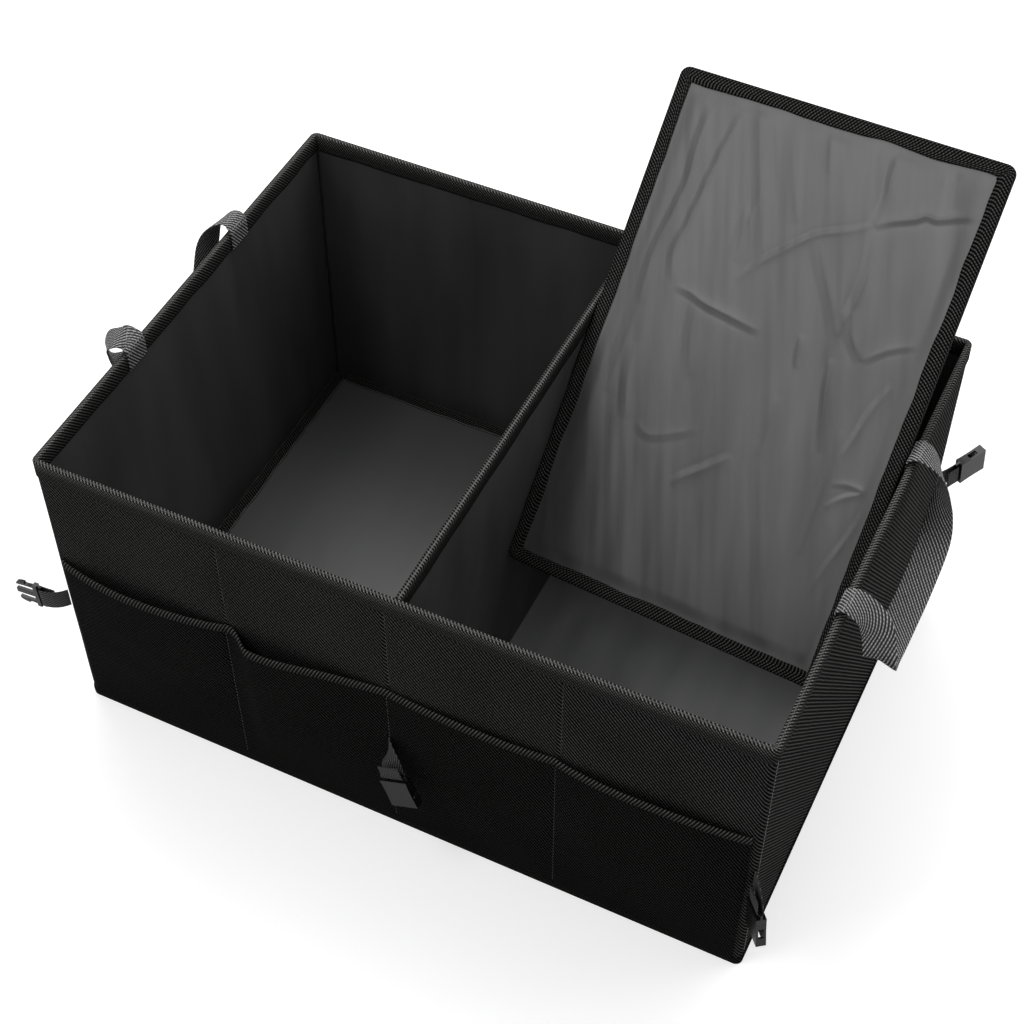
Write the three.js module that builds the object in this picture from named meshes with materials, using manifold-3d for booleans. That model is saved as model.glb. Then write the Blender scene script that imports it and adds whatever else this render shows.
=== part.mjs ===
// Collapsible car trunk organizer: a fabric box with stiff boards in its walls, two compartments,
// four front pockets, two ribbon handles, strap stubs with buckle halves, and two loose base plates.
// The left plate lies on the floor. The right one is lifted out and wedged between divider and side wall.
// Millimetres, +Z up. X runs left to right, -Y is the front, and the origin is the middle of the underside.
import * as THREE from "three";
import { mergeVertices } from "three/addons/utils/BufferGeometryUtils.js";
import Module from "manifold-3d";

// Overall box, over the rim binding
const boxWidth = 610;
const boxDepth = 440;
const boxHeight = 303;
const innerCornerRadius = 1;
const leastCornerRadius = 0.4;

// Layers of a wall, from outside to inside
const bindingThickness = 0.6;
const fabricThickness = 0.8;
const boardThickness = 1.8;
const liningThickness = 0.5;
const seat = 0.25;

// Binding tape
const rimBindingHeight = 16;
const bottomBindingHeight = 9;
const pocketBindingHeight = 7;
const dividerBindingHeight = 16;
const foldRadius = 0.5;

// Fold lines of the front and back walls, and the sewn fold between two boards
const foldPitch = 144;
const foldGap = 7;
const boardEdgeGap = 6;

// Divider
const dividerBoardThickness = 2.4;
const dividerTopShift = 10.8;

// Pockets
const pocketHeight = 190;
const pocketSeamPitch = 143;
const middleSeam = -2;
const pocketSideGap = 1;
const mouthDropShare = 0.3;
const mouthFlare = 1.2;

// How each pocket's mouth stands out: the place of the peak across it, the depth, and how narrow it is
const firstMouthSag = 9;
const secondMouthDent = 11.5;
const secondMouthSag = 3;
const thirdMouthSag = 3.2;
const fourthMouthSag = 5.5;
const mouthSags = [
  [{ peak: 0.44, depth: firstMouthSag, narrowness: 0.7 }],
  [
    { peak: 0.19, depth: secondMouthDent, narrowness: 3.2 },
    { peak: 0.7, depth: secondMouthSag, narrowness: 1.2 },
  ],
  [{ peak: 0.58, depth: thirdMouthSag, narrowness: 0.75 }],
  [{ peak: 0.4, depth: fourthMouthSag, narrowness: 0.6 }],
];

// Loose base plates
const plateBoardThickness = 3;
const plateCoverThickness = 0.6;
const plateBindingWidth = 12;
const plateSideClearance = 6;
const plateEndClearance = 2.5;
const plateCornerRadius = 8;

// Lifted plate: the height and depth of its low corner, its slope, and its roll about its own length
const liftedCornerHeight = 142;
const liftedCornerDepth = -26;
const liftedTilt = THREE.MathUtils.degToRad(45);
const liftedRoll = THREE.MathUtils.degToRad(8);
const wedgeClearance = 0.5;

// Handles
const handleWidth = 25;
const handleThickness = 1.4;
const handleSpacing = 160;
const rightHandleReach = 32;
const rightHandleDrop = 62;
const leftHandleReach = 18;
const leftHandleDrop = 60;
const handleArch = 8;
const handleRootDepth = 2;
const handleRootBow = 1;

// The hanging ribbons' turns from their far roots to their near ones. out is a share of the reach, along a share
// of half the spacing, up a share of the arch, down a share of the drop, and lie is the way the width points.
// The right handle is turned over at its near arch and hangs edge down. The left one lies close to the wall.
const rightHandleTurns = [
  { out: 0, along: 1, up: 0.85, down: 0, lie: [0, 1, -0.1] },
  { out: 0.22, along: 1, up: 0.65, down: 0, lie: [0, 1, -0.2] },
  { out: 0.47, along: 1, up: 0, down: 0.03, lie: [-0.1, 0.9, -0.4] },
  { out: 0.72, along: 0.96, up: 0, down: 0.24, lie: [-0.4, 0.75, -0.5] },
  { out: 0.83, along: 0.88, up: 0, down: 0.55, lie: [-0.8, 0.5, -0.3] },
  { out: 0.94, along: 0.65, up: 0, down: 0.86, lie: [-0.95, 0.2, 0.1] },
  { out: 0.97, along: 0.2, up: 0, down: 1, lie: [-1, 0, 0.1] },
  { out: 0.97, along: -0.4, up: 0, down: 0.97, lie: [-1, 0, 0.15] },
  { out: 1, along: -0.85, up: 0, down: 0.76, lie: [-0.95, 0, 0.3] },
  { out: 1.03, along: -1.17, up: 0, down: 0.45, lie: [-0.95, 0, 0.3] },
  { out: 0.78, along: -1.05, up: 0, down: 0.17, lie: [-0.74, -0.66, -0.16] },
  { out: 0.5, along: -1, up: 0, down: 0.02, lie: [-0.25, -0.95, -0.15] },
  { out: 0.2, along: -1, up: 0.65, down: 0, lie: [0, -1, -0.1] },
  { out: 0, along: -1, up: 0.85, down: 0, lie: [0, -1, 0] },
];
const leftHandleTurns = [
  { out: 0, along: 1, up: 0.85, down: 0, lie: [0, 1, -0.1] },
  { out: 0.4, along: 0.97, up: 0.7, down: 0, lie: [0, 1, -0.2] },
  { out: 0.85, along: 0.92, up: 0, down: 0.05, lie: [-0.1, 0.95, -0.2] },
  { out: 1.05, along: 0.84, up: 0, down: 0.3, lie: [-0.3, 0.8, -0.4] },
  { out: 1, along: 0.66, up: 0, down: 0.7, lie: [-0.3, 0.5, -0.8] },
  { out: 0.8, along: 0.35, up: 0, down: 1, lie: [-0.2, 0.1, -0.95] },
  { out: 0.7, along: -0.35, up: 0, down: 1, lie: [-0.2, -0.1, -0.95] },
  { out: 0.75, along: -0.75, up: 0, down: 0.75, lie: [-0.5, -0.3, -0.7] },
  { out: 0.9, along: -1, up: 0, down: 0.5, lie: [-0.75, -0.55, -0.3] },
  { out: 0.98, along: -1.08, up: 0, down: 0.2, lie: [-0.7, -0.7, -0.1] },
  { out: 0.85, along: -1.08, up: 0.3, down: 0, lie: [-0.5, -0.85, 0] },
  { out: 0.55, along: -1.06, up: 0.9, down: 0, lie: [-0.3, -0.95, 0] },
  { out: 0.25, along: -1.03, up: 1.05, down: 0, lie: [-0.1, -1, 0] },
  { out: 0, along: -1, up: 0.85, down: 0, lie: [0, -1, 0] },
];
const handleShoulder = 0.45;

// Straps and buckles
const strapWidth = 20;
const strapThickness = 1.2;
const strapTail = 11;
const strapElbow = 0.5;
const strapTurnRate = 1.4;
const strapHeight = 134;
const maleStrapLength = 25;
const sideStrapLength = 18;
const cornerStrapLength = 24;
const cornerStrapElbow = 0.65;
const centreStrapLength = 30;
const frontStrapHeight = 118;
const strapSeat = 0.55;
const barSize = 1.8;
const loopClearance = 0.7;
const railWidth = 2.5;
const strapSideClearance = 0.5;
const slotClearance = 0.3;
const maleBodyLength = 4;
const maleBodyThickness = 5;
const prongLength = 18;
const prongThickness = 3;
const guideWidth = 5;
const prongRootWidth = 3.3;
const prongRootInset = 1.2;
const prongWaistInset = 2.6;
const prongStepInset = 2;
const prongTipInset = 0.4;
const prongInnerInset = 4;
const prongTipWidth = 5;
const femaleBodyLength = 27;
const femaleBodyThickness = 8;
const socketHeight = 5;
const socketDepth = 22;
const femaleWall = 2.2;
const femaleWaistPlace = 0.45;
const femaleWaistInset = 1.25;
const windowLength = 9;
const windowSetback = 7.5;
const windowMargin = 0.4;
const cutOverrun = 1;

// Colours and finishes
const fabricBlack = { color: 0x121212, roughness: 0.9, metalness: 0 };
const tapeGrey = { color: 0x2b2b2b, roughness: 0.85, metalness: 0 };
const liningGrey = { color: 0x3a3a3c, roughness: 0.55, metalness: 0 };
const boardGrey = { color: 0x6a675f, roughness: 0.9, metalness: 0 };
const webbingGrey = { color: 0x303030, roughness: 0.8, metalness: 0 };
const buckleBlack = { color: 0x0b0b0b, roughness: 0.25, metalness: 0 };

// Depth of each layer, measured inwards from the outermost face of the rim binding
const outerFace = bindingThickness + seat;
const outerBack = outerFace + fabricThickness;
const boardFace = outerBack + seat;
const boardBack = boardFace + boardThickness;
const liningFace = boardBack + seat;
const liningBack = liningFace + liningThickness;
const hemFace = liningBack + seat;
const wallDepth = hemFace + bindingThickness;
const cornerRadius = wallDepth + innerCornerRadius;

const halfWidth = boxWidth / 2;
const halfDepth = boxDepth / 2;
const layersTop = boxHeight - bindingThickness - seat;
const floorTop = fabricThickness + seat + liningThickness;
const wallBoardFoot = fabricThickness + seat;
const insideFoot = floorTop + seat;

const wasm = await Module();
wasm.setup();

const organizer = new THREE.Group();

function addMesh(name, geometry, finish, parent = organizer) {
  const mesh = new THREE.Mesh(geometry, new THREE.MeshStandardMaterial(finish));
  mesh.name = name;
  parent.add(mesh);
  return mesh;
}

function signedVolume(points, faces) {
  let sum = 0;
  const a = new THREE.Vector3();
  const b = new THREE.Vector3();
  const c = new THREE.Vector3();
  for (let i = 0; i < faces.length; i += 3) {
    a.copy(points[faces[i]]);
    b.copy(points[faces[i + 1]]);
    c.copy(points[faces[i + 2]]);
    sum += a.dot(b.cross(c));
  }
  return sum;
}

// A closed body from points and triangles, wound so that its faces point out.
function bodyFrom(points, faces) {
  if (signedVolume(points, faces) < 0) faces.reverse();
  const geometry = new THREE.BufferGeometry();
  geometry.setAttribute(
    "position",
    new THREE.Float32BufferAttribute(points.flatMap((p) => [p.x, p.y, p.z]), 3),
  );
  geometry.setIndex(faces);
  return geometry;
}

function block(lo, hi) {
  const geometry = new THREE.BoxGeometry(hi[0] - lo[0], hi[1] - lo[1], hi[2] - lo[2]);
  return geometry.translate((lo[0] + hi[0]) / 2, (lo[1] + hi[1]) / 2, (lo[2] + hi[2]) / 2);
}

// A loop of cross-sections, each an array of points, joined one to the next.
function loftedBody(sections, closed) {
  const sides = sections[0].length;
  const faces = [];
  const last = closed ? sections.length : sections.length - 1;
  for (let i = 0; i < last; i++) {
    const here = i * sides;
    const next = ((i + 1) % sections.length) * sides;
    for (let k = 0; k < sides; k++) {
      const m = (k + 1) % sides;
      faces.push(here + k, here + m, next + m, here + k, next + m, next + k);
    }
  }
  if (!closed) {
    const outline = capTriangles(sections[0]);
    const end = (sections.length - 1) * sides;
    for (const [a, b, c] of outline) {
      faces.push(a, c, b);
      faces.push(end + a, end + b, end + c);
    }
  }
  return bodyFrom(sections.flat(), faces);
}

// Triangles of a planar cross-section, worked out in its own plane and wound as its outline runs.
function capTriangles(section) {
  const normal = new THREE.Vector3();
  for (let i = 0; i < section.length; i++) {
    const next = section[(i + 1) % section.length];
    normal.add(section[i].clone().cross(next));
  }
  normal.normalize();
  const across = section[1].clone().sub(section[0]).normalize();
  const up = normal.clone().cross(across);
  const flat = section.map((p) => new THREE.Vector2(p.dot(across), p.dot(up)));
  return THREE.ShapeUtils.triangulateShape(flat, []);
}

// A tape or band that runs round a rounded rectangle. Its profile gives depth inwards and height.
// Deeper in than the corner radius, the corner stays nearly sharp, as a mitred tape does.
function ringBody(profile, halfX, halfY, radius, cornerSteps = 5) {
  const sections = [];
  for (let corner = 0; corner < 4; corner++) {
    const signX = corner === 0 || corner === 3 ? 1 : -1;
    const signY = corner < 2 ? 1 : -1;
    for (let i = 0; i <= cornerSteps; i++) {
      const angle = ((corner + i / cornerSteps) * Math.PI) / 2;
      sections.push(
        profile.map(([depth, z]) => {
          const r = Math.max(radius - depth, leastCornerRadius);
          const x = signX * (halfX - depth - r) + r * Math.cos(angle);
          const y = signY * (halfY - depth - r) + r * Math.sin(angle);
          return new THREE.Vector3(x, y, z);
        }),
      );
    }
  }
  return loftedBody(sections, true);
}

// A flat ribbon of rectangular section along a list of centre points, with its width along each side vector.
function ribbonBody(centres, sideVectors, width, thickness) {
  const sections = centres.map((centre, i) => {
    const before = centres[Math.max(i - 1, 0)];
    const after = centres[Math.min(i + 1, centres.length - 1)];
    const along = after.clone().sub(before).normalize();
    const side = sideVectors[i].clone().addScaledVector(along, -sideVectors[i].dot(along)).normalize();
    const normal = along.clone().cross(side).multiplyScalar(thickness / 2);
    side.multiplyScalar(width / 2);
    return [
      centre.clone().sub(side).sub(normal),
      centre.clone().add(side).sub(normal),
      centre.clone().add(side).add(normal),
      centre.clone().sub(side).add(normal),
    ];
  });
  return loftedBody(sections, false);
}

function roundedRectangle(halfX, halfY, radius) {
  const shape = new THREE.Shape();
  shape.moveTo(halfX, halfY - radius);
  shape.absarc(halfX - radius, halfY - radius, radius, 0, Math.PI / 2, false);
  shape.absarc(-halfX + radius, halfY - radius, radius, Math.PI / 2, Math.PI, false);
  shape.absarc(-halfX + radius, -halfY + radius, radius, Math.PI, Math.PI * 1.5, false);
  shape.absarc(halfX - radius, -halfY + radius, radius, Math.PI * 1.5, Math.PI * 2, false);
  return shape;
}

function extruded(shape, depth, z = 0, curveSegments = 5) {
  const geometry = new THREE.ExtrudeGeometry(shape, { depth, bevelEnabled: false, curveSegments });
  return geometry.translate(0, 0, z);
}

// Outer fabric. The front and back panels wrap round the rounded corners and meet the side panels there.
function wrappedPanel(sign) {
  const r = cornerRadius - outerFace;
  const inner = r - fabricThickness;
  const cx = halfWidth - cornerRadius;
  const cy = halfDepth - cornerRadius;
  const shape = new THREE.Shape();
  shape.moveTo(cx + r, cy);
  shape.absarc(cx, cy, r, 0, Math.PI / 2, false);
  shape.absarc(-cx, cy, r, Math.PI / 2, Math.PI, false);
  shape.lineTo(-cx - inner, cy);
  shape.absarc(-cx, cy, inner, Math.PI, Math.PI / 2, true);
  shape.absarc(cx, cy, inner, Math.PI / 2, 0, true);
  shape.closePath();
  const geometry = extruded(shape, layersTop);
  if (sign < 0) geometry.rotateZ(Math.PI);
  return geometry;
}

function makeOuterFabric() {
  addMesh("outer_back", wrappedPanel(1), fabricBlack);
  addMesh("outer_front", wrappedPanel(-1), fabricBlack);
  const sideHalf = halfDepth - cornerRadius - seat;
  const near = halfWidth - outerBack;
  const far = halfWidth - outerFace;
  addMesh("outer_right", block([near, -sideHalf, 0], [far, sideHalf, layersTop]), fabricBlack);
  addMesh("outer_left", block([-far, -sideHalf, 0], [-near, sideHalf, layersTop]), fabricBlack);
  const inset = outerBack + seat;
  const sheet = roundedRectangle(halfWidth - inset, halfDepth - inset, cornerRadius - inset);
  addMesh("outer_bottom", extruded(sheet, fabricThickness), fabricBlack);
}

// Stiff boards: four in the front wall, four in the back wall, one in each side wall.
function makeWallBoards() {
  const end = halfWidth - cornerRadius;
  const edges = [-end, -foldPitch, 0, foldPitch, end];
  const boardTop = layersTop - boardEdgeGap;
  for (const [wall, sign] of [["front", -1], ["back", 1]]) {
    for (let i = 0; i < 4; i++) {
      const left = edges[i] + (i === 0 ? 0 : foldGap / 2);
      const right = edges[i + 1] - (i === 3 ? 0 : foldGap / 2);
      const ys = [sign * (halfDepth - boardFace), sign * (halfDepth - boardBack)].sort((a, b) => a - b);
      const board = block([left, ys[0], wallBoardFoot], [right, ys[1], boardTop]);
      addMesh(`board_${wall}_${i + 1}`, board, boardGrey);
    }
  }
  const sideHalf = halfDepth - cornerRadius;
  const near = halfWidth - boardBack;
  const far = halfWidth - boardFace;
  addMesh("board_right", block([near, -sideHalf, wallBoardFoot], [far, sideHalf, boardTop]), boardGrey);
  addMesh("board_left", block([-far, -sideHalf, wallBoardFoot], [-near, sideHalf, boardTop]), boardGrey);
}

// Smooth lining inside the walls and on the floor.
function makeLining() {
  const near = halfWidth - liningBack;
  const far = halfWidth - liningFace;
  const back = halfDepth - liningBack;
  const wallFace = halfDepth - liningFace;
  const sideHalf = back - seat;
  addMesh("lining_front", block([-far, -wallFace, insideFoot], [far, -back, layersTop]), liningGrey);
  addMesh("lining_back", block([-far, back, insideFoot], [far, wallFace, layersTop]), liningGrey);
  addMesh("lining_right", block([near, -sideHalf, insideFoot], [far, sideHalf, layersTop]), liningGrey);
  addMesh("lining_left", block([-far, -sideHalf, insideFoot], [-near, sideHalf, layersTop]), liningGrey);
  const foot = floorTop - liningThickness;
  addMesh("lining_floor", block([-near, -back, foot], [near, back, floorTop]), liningGrey);
}

// A folded tape in section: outer leg, top with rounded folds, inner leg. Depth runs inwards.
function foldedTape(depth, top, height) {
  const t = bindingThickness;
  const f = foldRadius;
  return [
    [0, top - height],
    [0, top - f],
    [f, top],
    [depth - f, top],
    [depth, top - f],
    [depth, top - height],
    [depth - t, top - height],
    [depth - t, top - t],
    [t, top - t],
    [t, top - height],
  ];
}

function makeBoxBinding() {
  const rim = foldedTape(wallDepth, boxHeight, rimBindingHeight);
  addMesh("rim_binding", ringBody(rim, halfWidth, halfDepth, cornerRadius), tapeGrey);
  const band = [
    [0, 0],
    [0, bottomBindingHeight],
    [bindingThickness, bottomBindingHeight],
    [bindingThickness, 0],
  ];
  addMesh("bottom_binding", ringBody(band, halfWidth, halfDepth, cornerRadius), tapeGrey);
}

// Divider: its foot is sewn to the middle of the floor, and its top leans to the right.
const dividerHalf = dividerBoardThickness / 2;
const dividerCoverFace = dividerHalf + seat + liningThickness;
const dividerBindingFace = dividerCoverFace + seat + bindingThickness;
const dividerLean = Math.atan2(dividerTopShift, boxHeight);
const dividerTop = boxHeight / Math.cos(dividerLean) - dividerBindingFace * Math.tan(dividerLean);
const dividerFoot = insideFoot + dividerBindingFace * Math.tan(dividerLean) + seat;

// X of the divider's right face at a height: of its cover, or of its binding near the top.
function dividerRight(height, face) {
  return height * Math.tan(dividerLean) + face / Math.cos(dividerLean);
}

function foldedAcross(face, thickness, foot, top, length) {
  const shape = new THREE.Shape();
  shape.moveTo(-face, foot);
  shape.lineTo(-face, top - foldRadius);
  shape.lineTo(-face + foldRadius, top);
  shape.lineTo(face - foldRadius, top);
  shape.lineTo(face, top - foldRadius);
  shape.lineTo(face, foot);
  shape.lineTo(face - thickness, foot);
  shape.lineTo(face - thickness, top - thickness);
  shape.lineTo(-face + thickness, top - thickness);
  shape.lineTo(-face + thickness, foot);
  shape.closePath();
  const geometry = extruded(shape, length);
  return geometry.rotateX(Math.PI / 2).translate(0, length / 2, 0);
}

function makeDivider() {
  const divider = new THREE.Group();
  divider.rotation.y = dividerLean;
  organizer.add(divider);
  const length = 2 * (halfDepth - wallDepth - seat);
  const coverTop = dividerTop - bindingThickness - seat;
  const boardTop = coverTop - liningThickness - seat;
  const board = block([-dividerHalf, -length / 2, dividerFoot], [dividerHalf, length / 2, boardTop]);
  addMesh("divider_board", board, boardGrey, divider);
  const cover = foldedAcross(dividerCoverFace, liningThickness, dividerFoot, coverTop, length);
  addMesh("divider_cover", cover, liningGrey, divider);
  const hem = dividerTop - dividerBindingHeight;
  const tape = foldedAcross(dividerBindingFace, bindingThickness, hem, dividerTop, length);
  addMesh("divider_binding", tape, tapeGrey, divider);
}

// Pocket fabric. Seams hold it to the front wall, and between them its mouth sags out and down.
const pocketBase = seat + bindingThickness + seat;
const pocketFoot = bottomBindingHeight + seat;
const pocketHalf = halfWidth - cornerRadius - pocketSideGap;
const pocketSeams = [
  -pocketHalf,
  middleSeam - pocketSeamPitch,
  middleSeam,
  middleSeam + pocketSeamPitch,
  pocketHalf,
];
const stationsPerPocket = 16;
const pocketRows = 8;

// Sag across one pocket: none at its seams, all of it at its peak.
function sagAcross(share, { peak, depth, narrowness }) {
  const bent = share < peak ? (0.5 * share) / peak : 0.5 + (0.5 * (share - peak)) / (1 - peak);
  return depth * Math.abs(Math.sin(Math.PI * bent)) ** narrowness;
}

function pocketStation(index) {
  const pocket = Math.min(Math.floor(index / stationsPerPocket), mouthSags.length - 1);
  const share = (index - pocket * stationsPerPocket) / stationsPerPocket;
  const x = THREE.MathUtils.lerp(pocketSeams[pocket], pocketSeams[pocket + 1], share);
  const out = mouthSags[pocket].reduce((sum, sag) => sum + sagAcross(share, sag), 0);
  return { x, out, drop: out * mouthDropShare };
}

// How far the fabric stands off the front wall at a share of its height.
function pocketOffset(station, rise) {
  const standOff = seat + (pocketBase - seat) * rise;
  return standOff + station.out * Math.sin((rise * Math.PI) / 2) ** mouthFlare;
}

function makePockets() {
  const wall = -(halfDepth - outerFace);
  const count = stationsPerPocket * mouthSags.length;
  const fabric = [];
  const tape = [];
  const tapeRise = 1 - pocketBindingHeight / (pocketHeight - pocketFoot);
  for (let i = 0; i <= count; i++) {
    const station = pocketStation(i);
    const top = pocketHeight - station.drop - bindingThickness - seat;
    const inner = [];
    for (let row = 0; row <= pocketRows; row++) {
      const rise = row / pocketRows;
      const z = THREE.MathUtils.lerp(pocketFoot, top, rise);
      inner.push(new THREE.Vector3(station.x, wall - pocketOffset(station, rise), z));
    }
    const outer = inner.map((p) => p.clone().setY(p.y - fabricThickness)).reverse();
    fabric.push([...inner, ...outer]);

    const mouth = wall - pocketOffset(station, 1);
    const hem = wall - pocketOffset(station, tapeRise);
    const hemZ = top - pocketBindingHeight;
    const crown = top + seat + bindingThickness;
    const innerLeg = seat + bindingThickness;
    const outerLeg = fabricThickness + seat + bindingThickness;
    tape.push(
      [
        [hem + innerLeg, hemZ],
        [mouth + innerLeg, crown],
        [mouth - outerLeg, crown],
        [hem - outerLeg, hemZ],
        [hem - outerLeg + bindingThickness, hemZ],
        [mouth - outerLeg + bindingThickness, crown - bindingThickness],
        [mouth + innerLeg - bindingThickness, crown - bindingThickness],
        [hem + innerLeg - bindingThickness, hemZ],
      ].map(([y, z]) => new THREE.Vector3(station.x, y, z)),
    );
  }
  addMesh("pocket_panel", loftedBody(fabric, false), fabricBlack);
  addMesh("pocket_binding", loftedBody(tape, false), tapeGrey);
}

// Base plates: a board in a folded cover, with binding round its edge.
const plateCoverHalf = plateBoardThickness / 2 + seat + plateCoverThickness;
const plateHalf = plateCoverHalf + seat + bindingThickness;
const plateThickness = 2 * plateHalf;
const floorRight = halfWidth - liningBack;
const floorLeft = dividerRight(insideFoot + plateThickness, dividerCoverFace);
const plateWidth = floorRight - floorLeft - 2 * plateSideClearance;
const plateLength = 2 * (halfDepth - liningBack - plateEndClearance);

// The cover is one sleeve, closed all round but for a slit at its left edge, where the board goes in.
function plateSleeve(halfX, halfY) {
  const t = plateCoverThickness;
  const h = plateCoverHalf;
  const shape = new THREE.Shape();
  shape.moveTo(-halfX, h);
  shape.lineTo(halfX, h);
  shape.lineTo(halfX, -h);
  shape.lineTo(-halfX, -h);
  shape.lineTo(-halfX, -h + t);
  shape.lineTo(halfX - t, -h + t);
  shape.lineTo(halfX - t, h - t);
  shape.lineTo(-halfX, h - t);
  shape.closePath();
  return extruded(shape, 2 * halfY).rotateX(Math.PI / 2).translate(0, halfY, 0);
}

function plateTape(halfX, halfY) {
  const t = bindingThickness;
  const h = plateHalf;
  const profile = [
    [plateBindingWidth, h],
    [foldRadius, h],
    [0, h - foldRadius],
    [0, -h + foldRadius],
    [foldRadius, -h],
    [plateBindingWidth, -h],
    [plateBindingWidth, -h + t],
    [t, -h + t],
    [t, h - t],
    [plateBindingWidth, h - t],
  ];
  return ringBody(profile, halfX, halfY, plateCornerRadius);
}

// Local frame of a plate: its middle at the origin, width along X, length along Y.
function makePlate(side, parent) {
  const edge = bindingThickness + seat;
  const coverX = plateWidth / 2 - edge;
  const coverY = plateLength / 2 - edge;
  const wrap = plateCoverThickness + seat;
  const lo = [-coverX + wrap, -coverY + wrap, -plateBoardThickness / 2];
  const hi = [coverX - wrap, coverY - wrap, plateBoardThickness / 2];
  addMesh(`base_plate_${side}_board`, cutCorners(block(lo, hi)), boardGrey, parent);
  addMesh(`base_plate_${side}_cover`, cutCorners(plateSleeve(coverX, coverY)), liningGrey, parent);
  addMesh(`base_plate_${side}_binding`, plateTape(plateWidth / 2, plateLength / 2), tapeGrey, parent);
}

const mergeDistance = 1e-4;

function toSolid(geometry) {
  const bare = geometry.clone();
  bare.deleteAttribute("normal");
  bare.deleteAttribute("uv");
  const merged = mergeVertices(bare, mergeDistance);
  const mesh = new wasm.Mesh({
    numProp: 3,
    vertProperties: new Float32Array(merged.attributes.position.array),
    triVerts: new Uint32Array(merged.index.array),
  });
  return new wasm.Manifold(mesh);
}

function toGeometry(solid) {
  const mesh = solid.getMesh();
  const geometry = new THREE.BufferGeometry();
  geometry.setAttribute("position", new THREE.BufferAttribute(new Float32Array(mesh.vertProperties), 3));
  geometry.setIndex(new THREE.BufferAttribute(new Uint32Array(mesh.triVerts), 1));
  return geometry;
}

// Rounds a plate's layers to follow the inside of its binding at the corners.
function cutCorners(geometry) {
  const inset = bindingThickness + seat;
  const radius = plateCornerRadius - inset;
  const outline = roundedRectangle(plateWidth / 2 - inset, plateLength / 2 - inset, radius);
  const cutter = extruded(outline, plateThickness, -plateHalf);
  return toGeometry(toSolid(geometry).intersect(toSolid(cutter)));
}

// The left plate lies on the floor, pushed against the left and back walls.
function makeLeftPlate() {
  const group = new THREE.Group();
  group.position.set(
    -halfWidth + wallDepth + seat + plateWidth / 2,
    halfDepth - wallDepth - seat - plateLength / 2,
    insideFoot + plateHalf,
  );
  organizer.add(group);
  makePlate("left", group);
}

// The lifted plate's frame: tilt it up towards the back, roll it about its length, then turn it in its own
// plane until its low left corner meets the divider and its right edge meets the handle's end in the rim.
function liftedFrame() {
  const along = new THREE.Vector3(0, Math.cos(liftedTilt), Math.sin(liftedTilt));
  const face = new THREE.Vector3(0, -Math.sin(liftedTilt), Math.cos(liftedTilt));
  const across = new THREE.Vector3(Math.cos(liftedRoll), 0, 0).addScaledVector(face, Math.sin(liftedRoll));
  const thicknessReach = plateThickness * Math.sin(liftedRoll);
  const cornerX = dividerRight(liftedCornerHeight, dividerCoverFace) + thicknessReach + wedgeClearance;
  const rimX = halfWidth - wallDepth - seat - handleThickness - wedgeClearance;
  const reach = (rimX - cornerX) / Math.cos(liftedRoll);
  const rise = (boxHeight - liftedCornerHeight - plateWidth * across.z) / along.z;
  const turn = Math.atan2(rise, plateWidth) - Math.acos(reach / Math.hypot(plateWidth, rise));
  const length = along.clone().multiplyScalar(Math.cos(turn)).addScaledVector(across, Math.sin(turn));
  const width = across.clone().multiplyScalar(Math.cos(turn)).addScaledVector(along, -Math.sin(turn));
  const normal = width.clone().cross(length);
  const corner = new THREE.Vector3(cornerX, liftedCornerDepth, liftedCornerHeight);
  return { width, length, normal, corner };
}

function makeLiftedPlate() {
  const { width, length, normal, corner } = liftedFrame();
  const middle = corner
    .clone()
    .addScaledVector(width, plateWidth / 2)
    .addScaledVector(length, plateLength / 2)
    .addScaledVector(normal, plateHalf);
  const group = new THREE.Group();
  group.quaternion.setFromRotationMatrix(new THREE.Matrix4().makeBasis(width, length, normal));
  group.position.copy(middle);
  organizer.add(group);
  makePlate("right", group);
}

const stepsPerStop = 4;

// Handle ribbon: it rises inside the rim, arches over it, hangs out as a loop and returns.
// Each stop is a point and the way the ribbon's width lies there.
function handleRoot(sign, side) {
  const inside = sign * (halfWidth - wallDepth - seat - handleThickness / 2);
  const y = (side * handleSpacing) / 2;
  const lie = new THREE.Vector3(0, side, 0);
  return [
    [inside, boxHeight - rimBindingHeight],
    [inside, boxHeight - handleRootDepth],
    [inside + sign * handleRootBow, boxHeight + handleArch * handleShoulder],
  ].map(([x, z]) => ({ point: new THREE.Vector3(x, y, z), lie }));
}

function handleTurn(sign, reach, drop, { out, along, up, down, lie }) {
  const x = sign * (halfWidth + out * reach);
  const y = (along * handleSpacing) / 2;
  const z = boxHeight + up * handleArch - down * drop;
  return { point: new THREE.Vector3(x, y, z), lie: new THREE.Vector3(sign * lie[0], lie[1], lie[2]) };
}

function makeHandle(name, sign, reach, drop, turns) {
  const stops = [
    ...handleRoot(sign, 1),
    ...turns.map((turn) => handleTurn(sign, reach, drop, turn)),
    ...handleRoot(sign, -1).reverse(),
  ];
  const path = new THREE.CatmullRomCurve3(stops.map((stop) => stop.point), false, "centripetal");
  const sides = new THREE.CatmullRomCurve3(stops.map((stop) => stop.lie));
  const steps = stepsPerStop * (stops.length - 1);
  const shares = Array.from({ length: steps + 1 }, (_, i) => i / steps);
  const body = ribbonBody(
    shares.map((s) => path.getPoint(s)),
    shares.map((s) => sides.getPoint(s)),
    handleWidth,
    handleThickness,
  );
  addMesh(name, body, webbingGrey);
}

// Buckle frame: the bar's middle at the origin, the mating end along +X, width along Y.
const barHalf = barSize / 2;
const loopRadius = barHalf + loopClearance + strapThickness / 2;
const slotEnd = loopRadius + strapThickness / 2 + slotClearance;
const innerHalf = strapWidth / 2 + strapSideClearance;
const buckleHalf = innerHalf + railWidth;

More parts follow.
